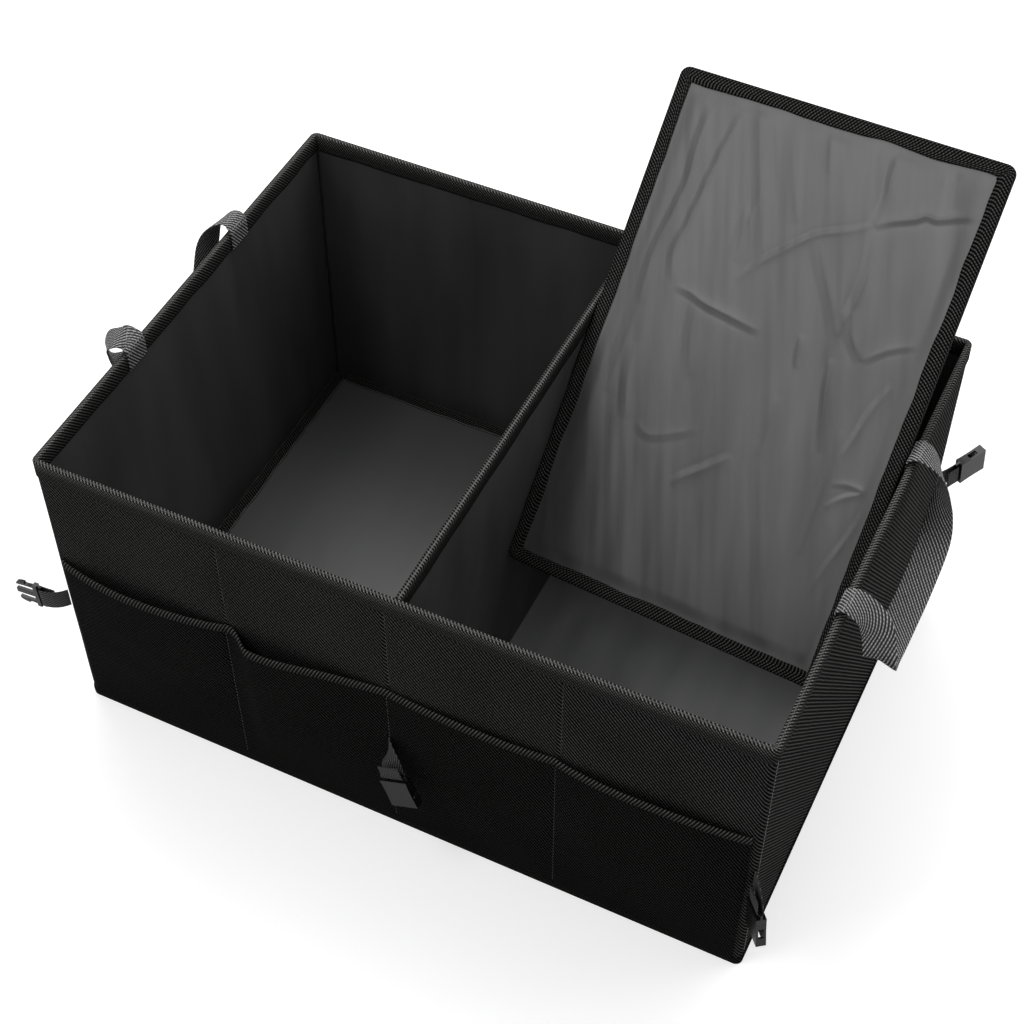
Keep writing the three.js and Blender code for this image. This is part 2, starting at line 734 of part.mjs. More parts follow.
function buckleFrame() {
  const shape = new THREE.Shape();
  shape.moveTo(-barHalf, -buckleHalf);
  shape.lineTo(slotEnd + barHalf, -buckleHalf);
  shape.lineTo(slotEnd + barHalf, buckleHalf);
  shape.lineTo(-barHalf, buckleHalf);
  shape.closePath();
  const slot = new THREE.Path();
  slot.moveTo(barHalf, -innerHalf);
  slot.lineTo(barHalf, innerHalf);
  slot.lineTo(slotEnd, innerHalf);
  slot.lineTo(slotEnd, -innerHalf);
  slot.closePath();
  shape.holes.push(slot);
  return extruded(shape, barSize, -barHalf);
}

// Outline of one side prong: a springy arm with a hooked tip that snaps into the side window.
function sideProng(sign) {
  const root = slotEnd + maleBodyLength - barHalf;
  const tip = root + prongLength;
  const shape = new THREE.Shape();
  const at = (inset) => sign * (buckleHalf - inset);
  const middle = root + prongLength / 2;
  const waist = root + prongLength / 3;
  const innerRoot = prongRootInset + prongRootWidth;
  shape.moveTo(root, at(innerRoot));
  shape.lineTo(root, at(prongRootInset));
  shape.quadraticCurveTo(waist, at(prongWaistInset), middle, at(prongStepInset));
  shape.lineTo(middle, at(0));
  shape.quadraticCurveTo(tip, at(prongTipInset), tip, at(prongTipWidth));
  shape.quadraticCurveTo(middle, at(prongInnerInset), root, at(innerRoot));
  return extruded(shape, prongThickness, -prongThickness / 2);
}

function makeMale(name, parent) {
  const bodyEnd = slotEnd + maleBodyLength;
  const crossbar = block(
    [slotEnd, -buckleHalf, -maleBodyThickness / 2],
    [bodyEnd, buckleHalf, maleBodyThickness / 2],
  );
  const guide = block(
    [bodyEnd - barHalf, -guideWidth / 2, -prongThickness / 2],
    [bodyEnd + prongLength, guideWidth / 2, prongThickness / 2],
  );
  const solid = toSolid(buckleFrame())
    .add(toSolid(crossbar))
    .add(toSolid(guide))
    .add(toSolid(sideProng(1)))
    .add(toSolid(sideProng(-1)));
  addMesh(name, toGeometry(solid), buckleBlack, parent);
}

// Female half: a hollow tapered body, open at its mouth, with a window in each side.
function makeFemale(name, parent) {
  const bodyEnd = slotEnd + femaleBodyLength;
  const half = femaleBodyThickness / 2;
  const shape = new THREE.Shape();
  const waistX = slotEnd + femaleBodyLength * femaleWaistPlace;
  const waistY = buckleHalf - femaleWaistInset;
  shape.moveTo(slotEnd, -buckleHalf);
  shape.quadraticCurveTo(waistX, -waistY, bodyEnd, -buckleHalf);
  shape.lineTo(bodyEnd, buckleHalf);
  shape.quadraticCurveTo(waistX, waistY, slotEnd, buckleHalf);
  shape.closePath();
  const socketHalf = buckleHalf - femaleWall;
  const socket = block(
    [bodyEnd - socketDepth, -socketHalf, -socketHeight / 2],
    [bodyEnd + cutOverrun, socketHalf, socketHeight / 2],
  );
  const windowHalf = socketHeight / 2 - windowMargin;
  const windowEnd = bodyEnd - windowSetback;
  const windows = block(
    [windowEnd - windowLength, -buckleHalf - cutOverrun, -windowHalf],
    [windowEnd, buckleHalf + cutOverrun, windowHalf],
  );
  const solid = toSolid(extruded(shape, femaleBodyThickness, -half))
    .subtract(toSolid(socket))
    .subtract(toSolid(windows))
    .add(toSolid(buckleFrame()));
  addMesh(name, toGeometry(solid), buckleBlack, parent);
}

const leadSteps = 8;
const loopSteps = 6;

// A strap stub that starts flat at its root, bends to its end heading, and loops round the buckle's bar.
// heading is the way it leaves the seam, rootSide the way its width lies there.
function makeStrap({ name, root, heading, rootSide, endHeading, endSide, length, half, bend = strapElbow }) {
  const start = new THREE.Vector3(...root);
  const out = new THREE.Vector3(...heading).normalize();
  const away = new THREE.Vector3(...endHeading).normalize();
  const side = new THREE.Vector3(...endSide);
  side.addScaledVector(away, -side.dot(away)).normalize();
  const normal = away.clone().cross(side);
  const elbow = start.clone().addScaledVector(out, length * bend);
  const reach = elbow.clone().addScaledVector(away, length * (1 - bend));
  const lead = new THREE.QuadraticBezierCurve3(start, elbow, reach);
  const bar = reach.clone().addScaledVector(normal, loopRadius);
  const firstSide = new THREE.Vector3(...rootSide);
  const centres = [];
  const sideVectors = [];
  for (let i = 0; i <= leadSteps; i++) {
    const share = i / leadSteps;
    centres.push(lead.getPoint(share));
    sideVectors.push(firstSide.clone().lerp(side, Math.min(1, share * strapTurnRate)));
  }
  for (let i = 1; i <= loopSteps; i++) {
    const angle = -Math.PI / 2 + (Math.PI * i) / loopSteps;
    const turned = bar.clone().addScaledVector(away, loopRadius * Math.cos(angle));
    centres.push(turned.addScaledVector(normal, loopRadius * Math.sin(angle)));
    sideVectors.push(side.clone());
  }
  const tail = bar.clone().addScaledVector(normal, loopRadius).addScaledVector(away, -strapTail);
  centres.push(tail);
  sideVectors.push(side.clone());
  addMesh(`${name}_strap`, ribbonBody(centres, sideVectors, strapWidth, strapThickness), webbingGrey);

  const frame = new THREE.Group();
  frame.quaternion.setFromRotationMatrix(new THREE.Matrix4().makeBasis(away, side, normal));
  frame.position.copy(bar);
  organizer.add(frame);
  if (half === "male") makeMale(`${name}_buckle_male`, frame);
  else makeFemale(`${name}_buckle_female`, frame);
}

function makeStraps() {
  const faceX = halfWidth - cornerRadius + (cornerRadius - outerFace) * Math.SQRT1_2 + strapSeat;
  const faceY = halfDepth - cornerRadius + (cornerRadius - outerFace) * Math.SQRT1_2 + strapSeat;
  const upright = [0, 0, 1];
  makeStrap({
    name: "front_left",
    half: "male",
    root: [-faceX, -faceY, strapHeight],
    heading: [-0.6, -0.8, 0],
    rootSide: upright,
    endHeading: [-1, -0.05, -0.05],
    endSide: upright,
    length: maleStrapLength,
  });
  makeStrap({
    name: "back_left",
    half: "male",
    root: [-faceX, faceY, strapHeight],
    heading: [-0.6, 0.8, 0],
    rootSide: upright,
    endHeading: [-1, 0.05, -0.05],
    endSide: upright,
    length: maleStrapLength,
  });
  makeStrap({
    name: "back_right",
    half: "female",
    root: [faceX, faceY, strapHeight],
    heading: [0.6, 0.8, 0],
    rootSide: upright,
    endHeading: [0.5, 0.85, 0.12],
    endSide: upright,
    length: sideStrapLength,
  });
  makeStrap({
    name: "front_right",
    half: "female",
    root: [faceX, -faceY, strapHeight],
    heading: [0.6, -0.8, 0],
    rootSide: upright,
    endHeading: [0.16, -0.22, -0.96],
    endSide: [0.6, -0.8, 0],
    length: cornerStrapLength,
    bend: cornerStrapElbow,
  });
  const pocketFace = -(halfDepth - outerFace + pocketBase + fabricThickness + strapSeat + strapThickness / 2);
  makeStrap({
    name: "front_centre",
    half: "female",
    root: [middleSeam, pocketFace, frontStrapHeight],
    heading: [0.4, -0.9, 0],
    rootSide: upright,
    endHeading: [0.42, -0.1, -0.9],
    endSide: [0.9, 0, 0.42],
    length: centreStrapLength,
  });
  makeStrap({
    name: "back_centre",
    half: "male",
    root: [0, halfDepth - outerFace + strapSeat + strapThickness / 2, strapHeight],
    heading: [0, 0.7, -0.7],
    rootSide: [1, 0, 0],
    endHeading: [0, 0.2, -0.98],
    endSide: [1, 0, 0],
    length: centreStrapLength,
  });
}

makeOuterFabric();
makeWallBoards();
makeLining();
makeBoxBinding();
makeDivider();
makePockets();
makeLeftPlate();
makeLiftedPlate();
makeHandle("handle_right", 1, rightHandleReach, rightHandleDrop, rightHandleTurns);
makeHandle("handle_left", -1, leftHandleReach, leftHandleDrop, leftHandleTurns);
makeStraps();

export default organizer;
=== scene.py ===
"""Looks of a collapsible fabric car trunk organizer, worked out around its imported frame.

Metres, +Z up, the pocket side faces -Y. Each cloth, tape and webbing piece is a grid of points that
numpy works out, with a UV map in metres that lies on the cloth, so that its weave follows the piece.
"""
import math

import bmesh
import bpy
import mathutils
import numpy as np
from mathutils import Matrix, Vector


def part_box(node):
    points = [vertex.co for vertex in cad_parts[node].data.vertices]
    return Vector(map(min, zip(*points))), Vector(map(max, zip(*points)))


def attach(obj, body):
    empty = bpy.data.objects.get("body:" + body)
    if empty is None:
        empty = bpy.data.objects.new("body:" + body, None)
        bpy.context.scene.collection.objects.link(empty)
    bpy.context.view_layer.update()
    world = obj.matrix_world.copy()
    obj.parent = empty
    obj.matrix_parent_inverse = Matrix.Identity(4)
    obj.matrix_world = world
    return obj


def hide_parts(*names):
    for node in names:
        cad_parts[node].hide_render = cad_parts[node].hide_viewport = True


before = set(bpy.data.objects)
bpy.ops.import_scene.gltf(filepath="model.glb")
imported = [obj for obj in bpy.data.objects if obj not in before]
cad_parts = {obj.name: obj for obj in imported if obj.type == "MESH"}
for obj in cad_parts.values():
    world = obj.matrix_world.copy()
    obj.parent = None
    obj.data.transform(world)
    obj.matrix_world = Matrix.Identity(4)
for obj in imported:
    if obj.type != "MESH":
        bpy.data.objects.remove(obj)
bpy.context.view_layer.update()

MM = 0.001

# Layers of a wall, from outside to inside
TAPE = 0.6 * MM
CLOTH = 0.8 * MM
LINING = 0.5 * MM
SEAT = 0.25 * MM
CORNER_RADIUS = 6.3 * MM
LEAST_RADIUS = 0.4 * MM
FOLD_RADIUS = 1.3 * MM

# Tape heights and the fold lines of the long walls
RIM_TAPE = 16 * MM
FOOT_TAPE = 9 * MM
POCKET_TAPE = 7 * MM
PLATE_TAPE = 12 * MM
FOLD_PITCH = 144 * MM
FOLD_GROOVE = 1.2 * MM
FOLD_GROOVE_WIDTH = 1.6 * MM

# Divider
DIVIDER_BOARD = 2.4 * MM
DIVIDER_SHIFT = 10.8 * MM

# Pockets
POCKET_HEIGHT = 190 * MM
POCKET_PITCH = 143 * MM
MIDDLE_SEAM = -2 * MM
POCKET_SIDE_GAP = 1 * MM
POCKET_FOLD = 1.05 * MM
MOUTH_DROP_SHARE = 0.3
MOUTH_FLARE = 1.2
MOUTH_SAGS = [
    [(0.44, 9 * MM, 0.7)],
    [(0.19, 11.5 * MM, 3.2), (0.7, 3 * MM, 1.2)],
    [(0.58, 3.2 * MM, 0.75)],
    [(0.4, 5.5 * MM, 0.6)],
]

# Loose base plates
PLATE_BOARD = 3 * MM
PLATE_COVER = 0.6 * MM
PLATE_SIDE_CLEARANCE = 6 * MM
PLATE_END_CLEARANCE = 2.5 * MM
PLATE_CORNER = 8 * MM
PLATE_TAPE_FOLD = 1.6 * MM
LIFTED_HEIGHT = 142 * MM
LIFTED_DEPTH = -26 * MM
LIFTED_TILT = math.radians(45)
LIFTED_ROLL = math.radians(8)
WEDGE_CLEARANCE = 0.5 * MM

# The streaks of the lifted plate's cloth lean by this much from its length
STREAK_LEAN = math.radians(18)
# Name of the point values that hold the painted shade in the folds of the lifted plate's creases
PAINTED_FOLD_SHADE = "painted_fold_shade"

# Handles
HANDLE_WIDTH = 25 * MM
HANDLE_THICKNESS = 1.4 * MM
HANDLE_SPACING = 160 * MM
RIGHT_HANDLE = (32 * MM, 62 * MM)
LEFT_HANDLE = (18 * MM, 60 * MM)
HANDLE_ARCH = 8 * MM
HANDLE_ROOT_DEPTH = 2 * MM
HANDLE_ROOT_BOW = 1 * MM
HANDLE_SHOULDER = 0.45
HANDLE_SEAMS = (17 * MM, 19.5 * MM, 25 * MM, 27.5 * MM)

# The hanging ribbons' turns: out along the reach, along half the spacing, up the arch, down the drop, and
# the way the width lies. A handle's reach and drop are given above.
RIGHT_TURNS = [
    (0, 1, 0.85, 0, (0, 1, -0.1)),
    (0.22, 1, 0.65, 0, (0, 1, -0.2)),
    (0.47, 1, 0, 0.03, (-0.1, 0.9, -0.4)),
    (0.72, 0.96, 0, 0.24, (-0.4, 0.75, -0.5)),
    (0.83, 0.88, 0, 0.55, (-0.8, 0.5, -0.3)),
    (0.94, 0.65, 0, 0.86, (-0.95, 0.2, 0.1)),
    (0.97, 0.2, 0, 1, (-1, 0, 0.1)),
    (0.97, -0.4, 0, 0.97, (-1, 0, 0.15)),
    (1, -0.85, 0, 0.76, (-0.95, 0, 0.3)),
    (1.03, -1.17, 0, 0.45, (-0.95, 0, 0.3)),
    (0.78, -1.05, 0, 0.17, (-0.74, -0.66, -0.16)),
    (0.5, -1, 0, 0.02, (-0.25, -0.95, -0.15)),
    (0.2, -1, 0.65, 0, (0, -1, -0.1)),
    (0, -1, 0.85, 0, (0, -1, 0)),
]
LEFT_TURNS = [
    (0, 1, 0.85, 0, (0, 1, -0.1)),
    (0.4, 0.97, 0.7, 0, (0, 1, -0.2)),
    (0.85, 0.92, 0, 0.05, (-0.1, 0.95, -0.2)),
    (1.05, 0.84, 0, 0.3, (-0.3, 0.8, -0.4)),
    (1, 0.66, 0, 0.7, (-0.3, 0.5, -0.8)),
    (0.8, 0.35, 0, 1, (-0.2, 0.1, -0.95)),
    (0.7, -0.35, 0, 1, (-0.2, -0.1, -0.95)),
    (0.75, -0.75, 0, 0.75, (-0.5, -0.3, -0.7)),
    (0.9, -1, 0, 0.5, (-0.75, -0.55, -0.3)),
    (0.98, -1.08, 0, 0.2, (-0.7, -0.7, -0.1)),
    (0.85, -1.08, 0.3, 0, (-0.5, -0.85, 0)),
    (0.55, -1.06, 0.9, 0, (-0.3, -0.95, 0)),
    (0.25, -1.03, 1.05, 0, (-0.1, -1, 0)),
    (0, -1, 0.85, 0, (0, -1, 0)),
]

# Straps and buckles
STRAP_WIDTH = 20 * MM
STRAP_THICKNESS = 1.2 * MM
STRAP_TAIL = 11 * MM
STRAP_HEIGHT = 134 * MM
MALE_STRAP = 25 * MM
SIDE_STRAP = 18 * MM
CORNER_STRAP = 24 * MM
CORNER_STRAP_BEND = 0.65
CENTRE_STRAP = 30 * MM
FRONT_STRAP_HEIGHT = 118 * MM
STRAP_SEAT = 0.55 * MM
STRAP_ELBOW = 0.5
STRAP_TURN_RATE = 1.4
BAR_SIZE = 1.8 * MM
LOOP_CLEARANCE = 0.7 * MM

half_width, half_depth, rim_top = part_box("rim_binding")[1]
outer_face = TAPE + SEAT
layers_top = rim_top - TAPE - SEAT
lining_face = half_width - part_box("lining_right")[1][0]
lining_back = lining_face + LINING
wall_depth = lining_back + SEAT + TAPE
floor_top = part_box("lining_floor")[1][2]
inside_foot = floor_top + SEAT
divider_cover_face = DIVIDER_BOARD / 2 + SEAT + LINING
divider_tape_face = divider_cover_face + SEAT + TAPE


def waves(u, v, seed, longest, shortest, count=14, upright=1.0):
    """Soft random relief, about -1 to 1: the mean of plane waves of random heading, length and phase.

    upright above 1 shortens the waves across u, so that the relief runs in streaks along v.
    """
    random = np.random.default_rng(seed)
    total = np.zeros(np.broadcast(u, v).shape)
    for _ in range(count):
        length = random.uniform(shortest, longest)
        heading = random.uniform(0, math.tau)
        across, along = u * math.cos(heading) * upright, v * math.sin(heading) / upright
        total += np.cos(math.tau * (across + along) / length + random.uniform(0, math.tau))
    return total / math.sqrt(count)


def fade(distance, reach):
    """Rises smoothly from 0 at no distance to 1 at reach and beyond."""
    share = np.clip(distance / reach, 0, 1)
    return share * share * (3 - 2 * share)


def run_of(points):
    """Distance along a row of points, from 0 at the first."""
    steps = np.linalg.norm(np.diff(points, axis=0), axis=1)
    return np.concatenate([[0], np.cumsum(steps)])


def through(stops, samples):
    """A centripetal Catmull-Rom curve through stops: on each span, the cubic whose end slopes are the
    divided differences of the neighbouring stops, weighed by the square root of their distances."""
    stops = np.asarray(stops, float)
    padded = np.concatenate([[2 * stops[0] - stops[1]], stops, [2 * stops[-1] - stops[-2]]])
    gaps = np.linalg.norm(np.diff(padded, axis=0), axis=1) ** 0.5
    for k in range(1, len(gaps)):
        if gaps[k] < 1e-4:
            gaps[k] = 1.0
    if gaps[0] < 1e-4:
        gaps[0] = gaps[1]
    place = np.linspace(0, len(stops) - 1, samples)
    span = np.minimum(place.astype(int), len(stops) - 2)
    t = (place - span)[:, None]
    before, start, end, after = (padded[span + k] for k in range(4))
    d0, d1, d2 = (gaps[span + k][:, None] for k in range(3))
    slope_in = ((start - before) / d0 - (end - before) / (d0 + d1) + (end - start) / d1) * d1
    slope_out = ((end - start) / d1 - (after - start) / (d1 + d2) + (after - end) / d2) * d1
    square = -3 * start + 3 * end - 2 * slope_in - slope_out
    cube = 2 * start - 2 * end + slope_in + slope_out
    return start + slope_in * t + square * t**2 + cube * t**3


def unit(vectors):
    return vectors / np.linalg.norm(vectors, axis=-1, keepdims=True)


def grid(first, second):
    """Two arrays, rows by columns: the first varies down the rows, the second along the columns."""
    return np.meshgrid(first, second, indexing="ij")


def link(name, data, material=None):
    """A new object in the scene for a mesh, lamp or camera, with its material."""
    made = bpy.data.objects.new(name, data)
    bpy.context.scene.collection.objects.link(made)
    if material is not None:
        data.materials.append(material)
    return made


def volume_of(points, quads):
    """Six times the signed volume that quads close in: the sum of the triple products of their triangles."""
    a, b, c, d = (points[quads[:, k]] for k in range(4))
    triples = np.einsum("ij,ij->i", a, np.cross(b, c)) + np.einsum("ij,ij->i", a, np.cross(c, d))
    return triples.sum()


def piece(name, points, uv, material, wrap=(False, False), caps=False, facing=None, thickness=0.0):
    """A mesh from a grid of points, rows by columns, with one UV for each corner of a face.

    wrap joins the last row or column to the first, and its UV grid is one longer that way. A closed
    piece faces outwards by its volume, and an open one has its mean normal along facing, and is
    thickened behind that face.
    """
    rows, columns = points.shape[:2]
    i, j = grid(np.arange(rows - 1 + wrap[0]), np.arange(columns - 1 + wrap[1]))
    i, j = i.ravel(), j.ravel()
    corners = [(i, j), (i + 1, j), (i + 1, j + 1), (i, j + 1)]
    quads = np.stack([(a % rows) * columns + b % columns for a, b in corners], 1)
    face_uv = np.stack([uv[a, b] for a, b in corners], 1)
    flat = points.reshape(-1, 3)
    if facing is None:
        turned = volume_of(flat, quads) < 0
    else:
        sides = np.cross(flat[quads[:, 2]] - flat[quads[:, 0]], flat[quads[:, 3]] - flat[quads[:, 1]])
        turned = sides.sum(0) @ np.array(facing) < 0
    if turned:
        quads, face_uv = quads[:, ::-1], face_uv[:, ::-1]
    faces = quads.tolist()
    face_uv = face_uv.reshape(-1, 2)
    if caps:
        first = np.arange(columns)
        last = first + (rows - 1) * columns
        ends = (last, first[::-1]) if turned else (first[::-1], last)
        faces += [end.tolist() for end in ends]
        spread = uv[:, :columns].reshape(-1, 2)
        face_uv = np.concatenate([face_uv, *(spread[end] for end in ends)])
    mesh = bpy.data.meshes.new(name)
    mesh.from_pydata(flat.tolist(), [], faces)
    layer = mesh.uv_layers.new(name="cloth")
    layer.data.foreach_set("uv", face_uv.astype(np.float32).ravel())
    mesh.polygons.foreach_set("use_smooth", np.ones(len(faces), dtype=bool))
    mesh.update()
    made = link(name, mesh, material)
    if thickness:
        shell = made.modifiers.new("cloth thickness", "SOLIDIFY")
        shell.thickness = thickness
        shell.offset = -1
    return made


def settle(made, slot, *nodes):
    """Puts a piece on the one body, in place of the frame's nodes; slot is not used."""
    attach(made, "root")
    if nodes:
        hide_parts(*nodes)
    return made


class Finish:
    """A material with short calls for the nodes that it is built from."""

    def __init__(self, name, **sockets):
        self.material = bpy.data.materials.new(name)
        self.material.use_nodes = True
        self.tree = self.material.node_tree
        self.shader = self.tree.nodes["Principled BSDF"]
        for socket, value in sockets.items():
            self.shader.inputs[socket.replace("_", " ")].default_value = value

    def node(self, kind, *inputs, **settings):
        made = self.tree.nodes.new(kind)
        for setting, value in settings.items():
            setattr(made, setting, value)
        for socket, value in enumerate(inputs):
            self.feed(made.inputs[socket], value)
        return made

    def feed(self, socket, value):
        if isinstance(value, bpy.types.NodeSocket):
            self.tree.links.new(value, socket)
        elif value is not None:
            socket.default_value = value

    def math(self, operation, *inputs):
        return self.node("ShaderNodeMath", *inputs, operation=operation).outputs[0]

    def along(self, vector, direction):
        return self.node("ShaderNodeVectorMath", vector, direction, operation="DOT_PRODUCT").outputs["Value"]

    def noise(self, vector, size, detail=2.0):
        made = self.node("ShaderNodeTexNoise", vector)
        made.inputs["Scale"].default_value = 1 / size
        made.inputs["Detail"].default_value = detail
        return made.outputs[0]

    def stretched(self, vector, lean, along):
        """The vector turned by lean, then shortened along its second axis."""
        first = self.along(vector, (math.cos(lean), math.sin(lean), 0))
        second = self.along(vector, (-math.sin(lean) * along, math.cos(lean) * along, 0))
        return self.node("ShaderNodeCombineXYZ", first, second, 0.0).outputs[0]

    def span(self, value, low, high):
        """Straight from low to high as value goes from 0 to 1."""
        return self.math("MULTIPLY_ADD", value, high - low, low)

    def mix(self, share, first, second):
        made = self.tree.nodes.new("ShaderNodeMix")
        made.data_type = "RGBA"
        for socket, value in (("Factor_Float", share), ("A_Color", first), ("B_Color", second)):
            self.feed(next(s for s in made.inputs if s.identifier == socket), value)
        return next(s for s in made.outputs if s.identifier == "Result_Color")

    def colour(self, value):
        self.feed(self.shader.inputs["Base Color"], value)

    def relief(self, height, depth, strength=1.0):
        made = self.node("ShaderNodeBump")
        made.inputs["Distance"].default_value = depth
        made.inputs["Strength"].default_value = strength
        self.feed(made.inputs["Height"], height)
        self.feed(self.shader.inputs["Normal"], made.outputs[0])

    def cloth_map(self):
        return self.node("ShaderNodeUVMap", uv_map="cloth").outputs[0]


CLOTH_GLOSS = 0.01
LINE_WIDTH = 0.9 * MM

# The walls' weave: two sets of diagonal ridges, each at this slope and pitch across it
WEAVE_SLOPE = math.radians(52)
WEAVE_PITCH = 2.88 * MM


def grey(level, tint=(1.0, 1.0, 1.0)):
    """A linear colour of one grey level, with a slight tint."""
    return (level * tint[0], level * tint[1], level * tint[2], 1.0)


def weave(finish, uv, pitch, slope, lean, wander=0.4):
    """Height 0 to 1 of a cloth whose strong ridges fall to the right and are crossed by weak ones.

    It is the cube of one raised sine times another, mirrored one. lean is the share of a ridge that
    stays between two raised threads, and wander is how far the rows stray, in radians.
    """
    turn = math.tau / pitch
    across, down = turn * math.sin(slope), turn * math.cos(slope)
    stray = finish.span(finish.noise(uv, 12 * pitch), -2 * wander, 2 * wander)
    ridge = finish.math("SINE", finish.math("ADD", finish.along(uv, (across, down, 0)), stray))
    dots = finish.math("SINE", finish.math("SUBTRACT", finish.along(uv, (across, -down, 0)), stray))
    ridge = finish.math("POWER", finish.span(ridge, 0.5, 1.0), 3.0)
    height = finish.math("MULTIPLY", ridge, finish.span(dots, (1 + lean) / 2, 1.0))
    uneven = finish.span(finish.noise(uv, 0.8 * pitch, 1.0), 0.1, 1.9)
    return finish.math("MULTIPLY", height, uneven)


def woven_finish(name, ground, thread, lean=0.6, relief=0.4 * MM, tint=(1.0, 1.0, 0.97)):
    """Coarse black cloth: pale thread crowns over dark ground, darker in soft patches."""
    finish = Finish(name, Roughness=0.8, Specular_IOR_Level=CLOTH_GLOSS)
    uv = finish.cloth_map()
    height = weave(finish, uv, WEAVE_PITCH, WEAVE_SLOPE, lean)
    patches = finish.span(finish.noise(uv, 70 * MM), 0.7, 1.3)
    finish.colour(finish.mix(finish.math("MULTIPLY", height, patches), grey(ground), grey(thread, tint)))
    finish.relief(height, relief)
    return finish.material


def tape_finish(name, thread, middle, reach, hem, pitch, slope, lean=0.5, lines=(), line_level=1.0):
    """Binding tape: a fine weave with painted light, brightest at its middle, and fine pale lines along it.

    middle is a place across the tape, from one hem, where the painted light is strongest. The threads'
    level,
    a painted light, falls evenly to the share hem at the distance reach from there. slope turns the ridges:
    at 90 degrees they run across the tape.
    line_level is a line's level as a share of the threads'.
    """
    tint = (1.0, 1.0, 0.96)
    finish = Finish(name, Roughness=0.8, Specular_IOR_Level=CLOTH_GLOSS)
    uv = finish.cloth_map()
    height = weave(finish, uv, pitch, math.radians(slope), lean)
    place = finish.node("ShaderNodeSeparateXYZ", uv).outputs[1]
    off = finish.math("ABSOLUTE", finish.math("SUBTRACT", place, middle))
    # Painted light: the threads are brightest at middle and darker towards the hems, as light falls on a
    # tape's crown
    level = finish.math("MAXIMUM", finish.math("MULTIPLY_ADD", off, (hem - 1) / reach, 1.0), hem)
    shade = finish.mix(finish.math("MULTIPLY", height, level), grey(0.02 * thread), grey(thread, tint))
    # Pale lines: stitching on the pocket and plate tapes, and a painted highlight along the crown of the rim
    # and divider tapes
    for line in lines:
        near = finish.math("COMPARE", place, line, LINE_WIDTH / 2)
        broken = finish.math("MULTIPLY", near, finish.span(finish.noise(uv, 2 * MM), 0.1, 1.3))
        shade = finish.mix(broken, shade, grey(line_level * thread, tint))
    finish.colour(shade)
    finish.relief(height, 0.3 * MM)
    return finish.material


# Coated cloth: how long its streaks are for their width, how strongly they show (partly a tone that strays,
# partly painted shade of soft crumples), the share of the level that fine specks take, and the level left
# in a fold by its painted shade
STREAK_STRETCH = 0.15
STREAK_GAIN = 2.5
SPECK_SHARE = 0.15
PAINTED_FOLD_SHADE_LEVEL = 0.35


def film_finish(name, level, rough, streak_size, streaks, lean=0.0, tint=(1.0, 1.0, 1.03)):
    """Smooth coated cloth: a dark sheen with soft streaks along it, and painted shade in the folds of its
    creases.

    streaks is how far their level strays, as a share; the streaks are partly a tone that strays and partly
    painted shade of soft crumples. The painted fold shade is the mesh's own point values.
    """
    finish = Finish(name, Roughness=rough)
    uv = finish.cloth_map()
    # Painted shade: the long streaks in the colour stand for the shading of soft crumples, besides a tone
    # that strays
    long_streaks = finish.noise(finish.stretched(uv, lean, STREAK_STRETCH), streak_size, 3.0)
    fine = finish.noise(uv, 0.9 * MM, 1.0)
    spread = finish.math("MULTIPLY_ADD", long_streaks, STREAK_GAIN, (1 - STREAK_GAIN) / 2)
    specks = finish.math("MULTIPLY", fine, SPECK_SHARE)
    shade = finish.math("MULTIPLY_ADD", spread, 1 - SPECK_SHARE, specks)
    plain = finish.mix(shade, grey(level * (1 - streaks), tint), grey(level * (1 + streaks), tint))
    # Painted shade: the fold values darken the colour where a crease's fold lies in shade
    folds = finish.node("ShaderNodeAttribute", attribute_name=PAINTED_FOLD_SHADE).outputs["Fac"]
    finish.colour(finish.mix(folds, plain, grey(level * PAINTED_FOLD_SHADE_LEVEL, tint)))
    height = finish.math("ADD", long_streaks, finish.math("MULTIPLY", fine, 0.03))
    finish.relief(height, 1.2 * MM, 0.5)
    return finish.material


def webbing_finish(name, pitch, thread):
    """Polyester webbing: bright thread crowns in slanted rows over dark ground."""
    finish = Finish(name, Roughness=0.6, Specular_IOR_Level=0.15)
    height = weave(finish, finish.cloth_map(), pitch, math.radians(35), 0.4)
    finish.colour(finish.mix(height, grey(0.012), grey(thread)))
    finish.relief(height, 0.4 * MM)
    return finish.material


def thread_finish(name, level):
    """Sewing thread: two plies that twist along each stitch."""
    finish = Finish(name, Roughness=0.6)
    coordinates = finish.node("ShaderNodeTexCoord").outputs["Object"]
    plies = finish.noise(coordinates, 0.7 * MM, 1.0)
    finish.colour(finish.mix(plies, grey(level * 0.6), grey(level * 1.4)))
    return finish.material


def plastic_finish():
    """Moulded black plastic with a fine grain that only its gloss shows."""
    finish = Finish("buckle plastic", Roughness=0.15, Specular_IOR_Level=0.4)
    coordinates = finish.node("ShaderNodeTexCoord").outputs["Object"]
    grain = finish.noise(coordinates, 0.5 * MM, 2.0)
    finish.colour(finish.mix(finish.noise(coordinates, 8 * MM), grey(0.003), grey(0.008)))
    finish.relief(grain, 0.05 * MM, 0.4)
    return finish.material


def board_finish():
    """Grey stiffener board with a mottled face."""
    finish = Finish("stiffener board", Roughness=0.9)
    coordinates = finish.node("ShaderNodeTexCoord").outputs["Object"]
    speckle = finish.noise(coordinates, 2 * MM, 4.0)
    finish.colour(finish.mix(speckle, grey(0.10, (1.0, 0.95, 0.85)), grey(0.2, (1.0, 0.95, 0.85))))
    finish.relief(speckle, 0.1 * MM, 0.5)
    return finish.material


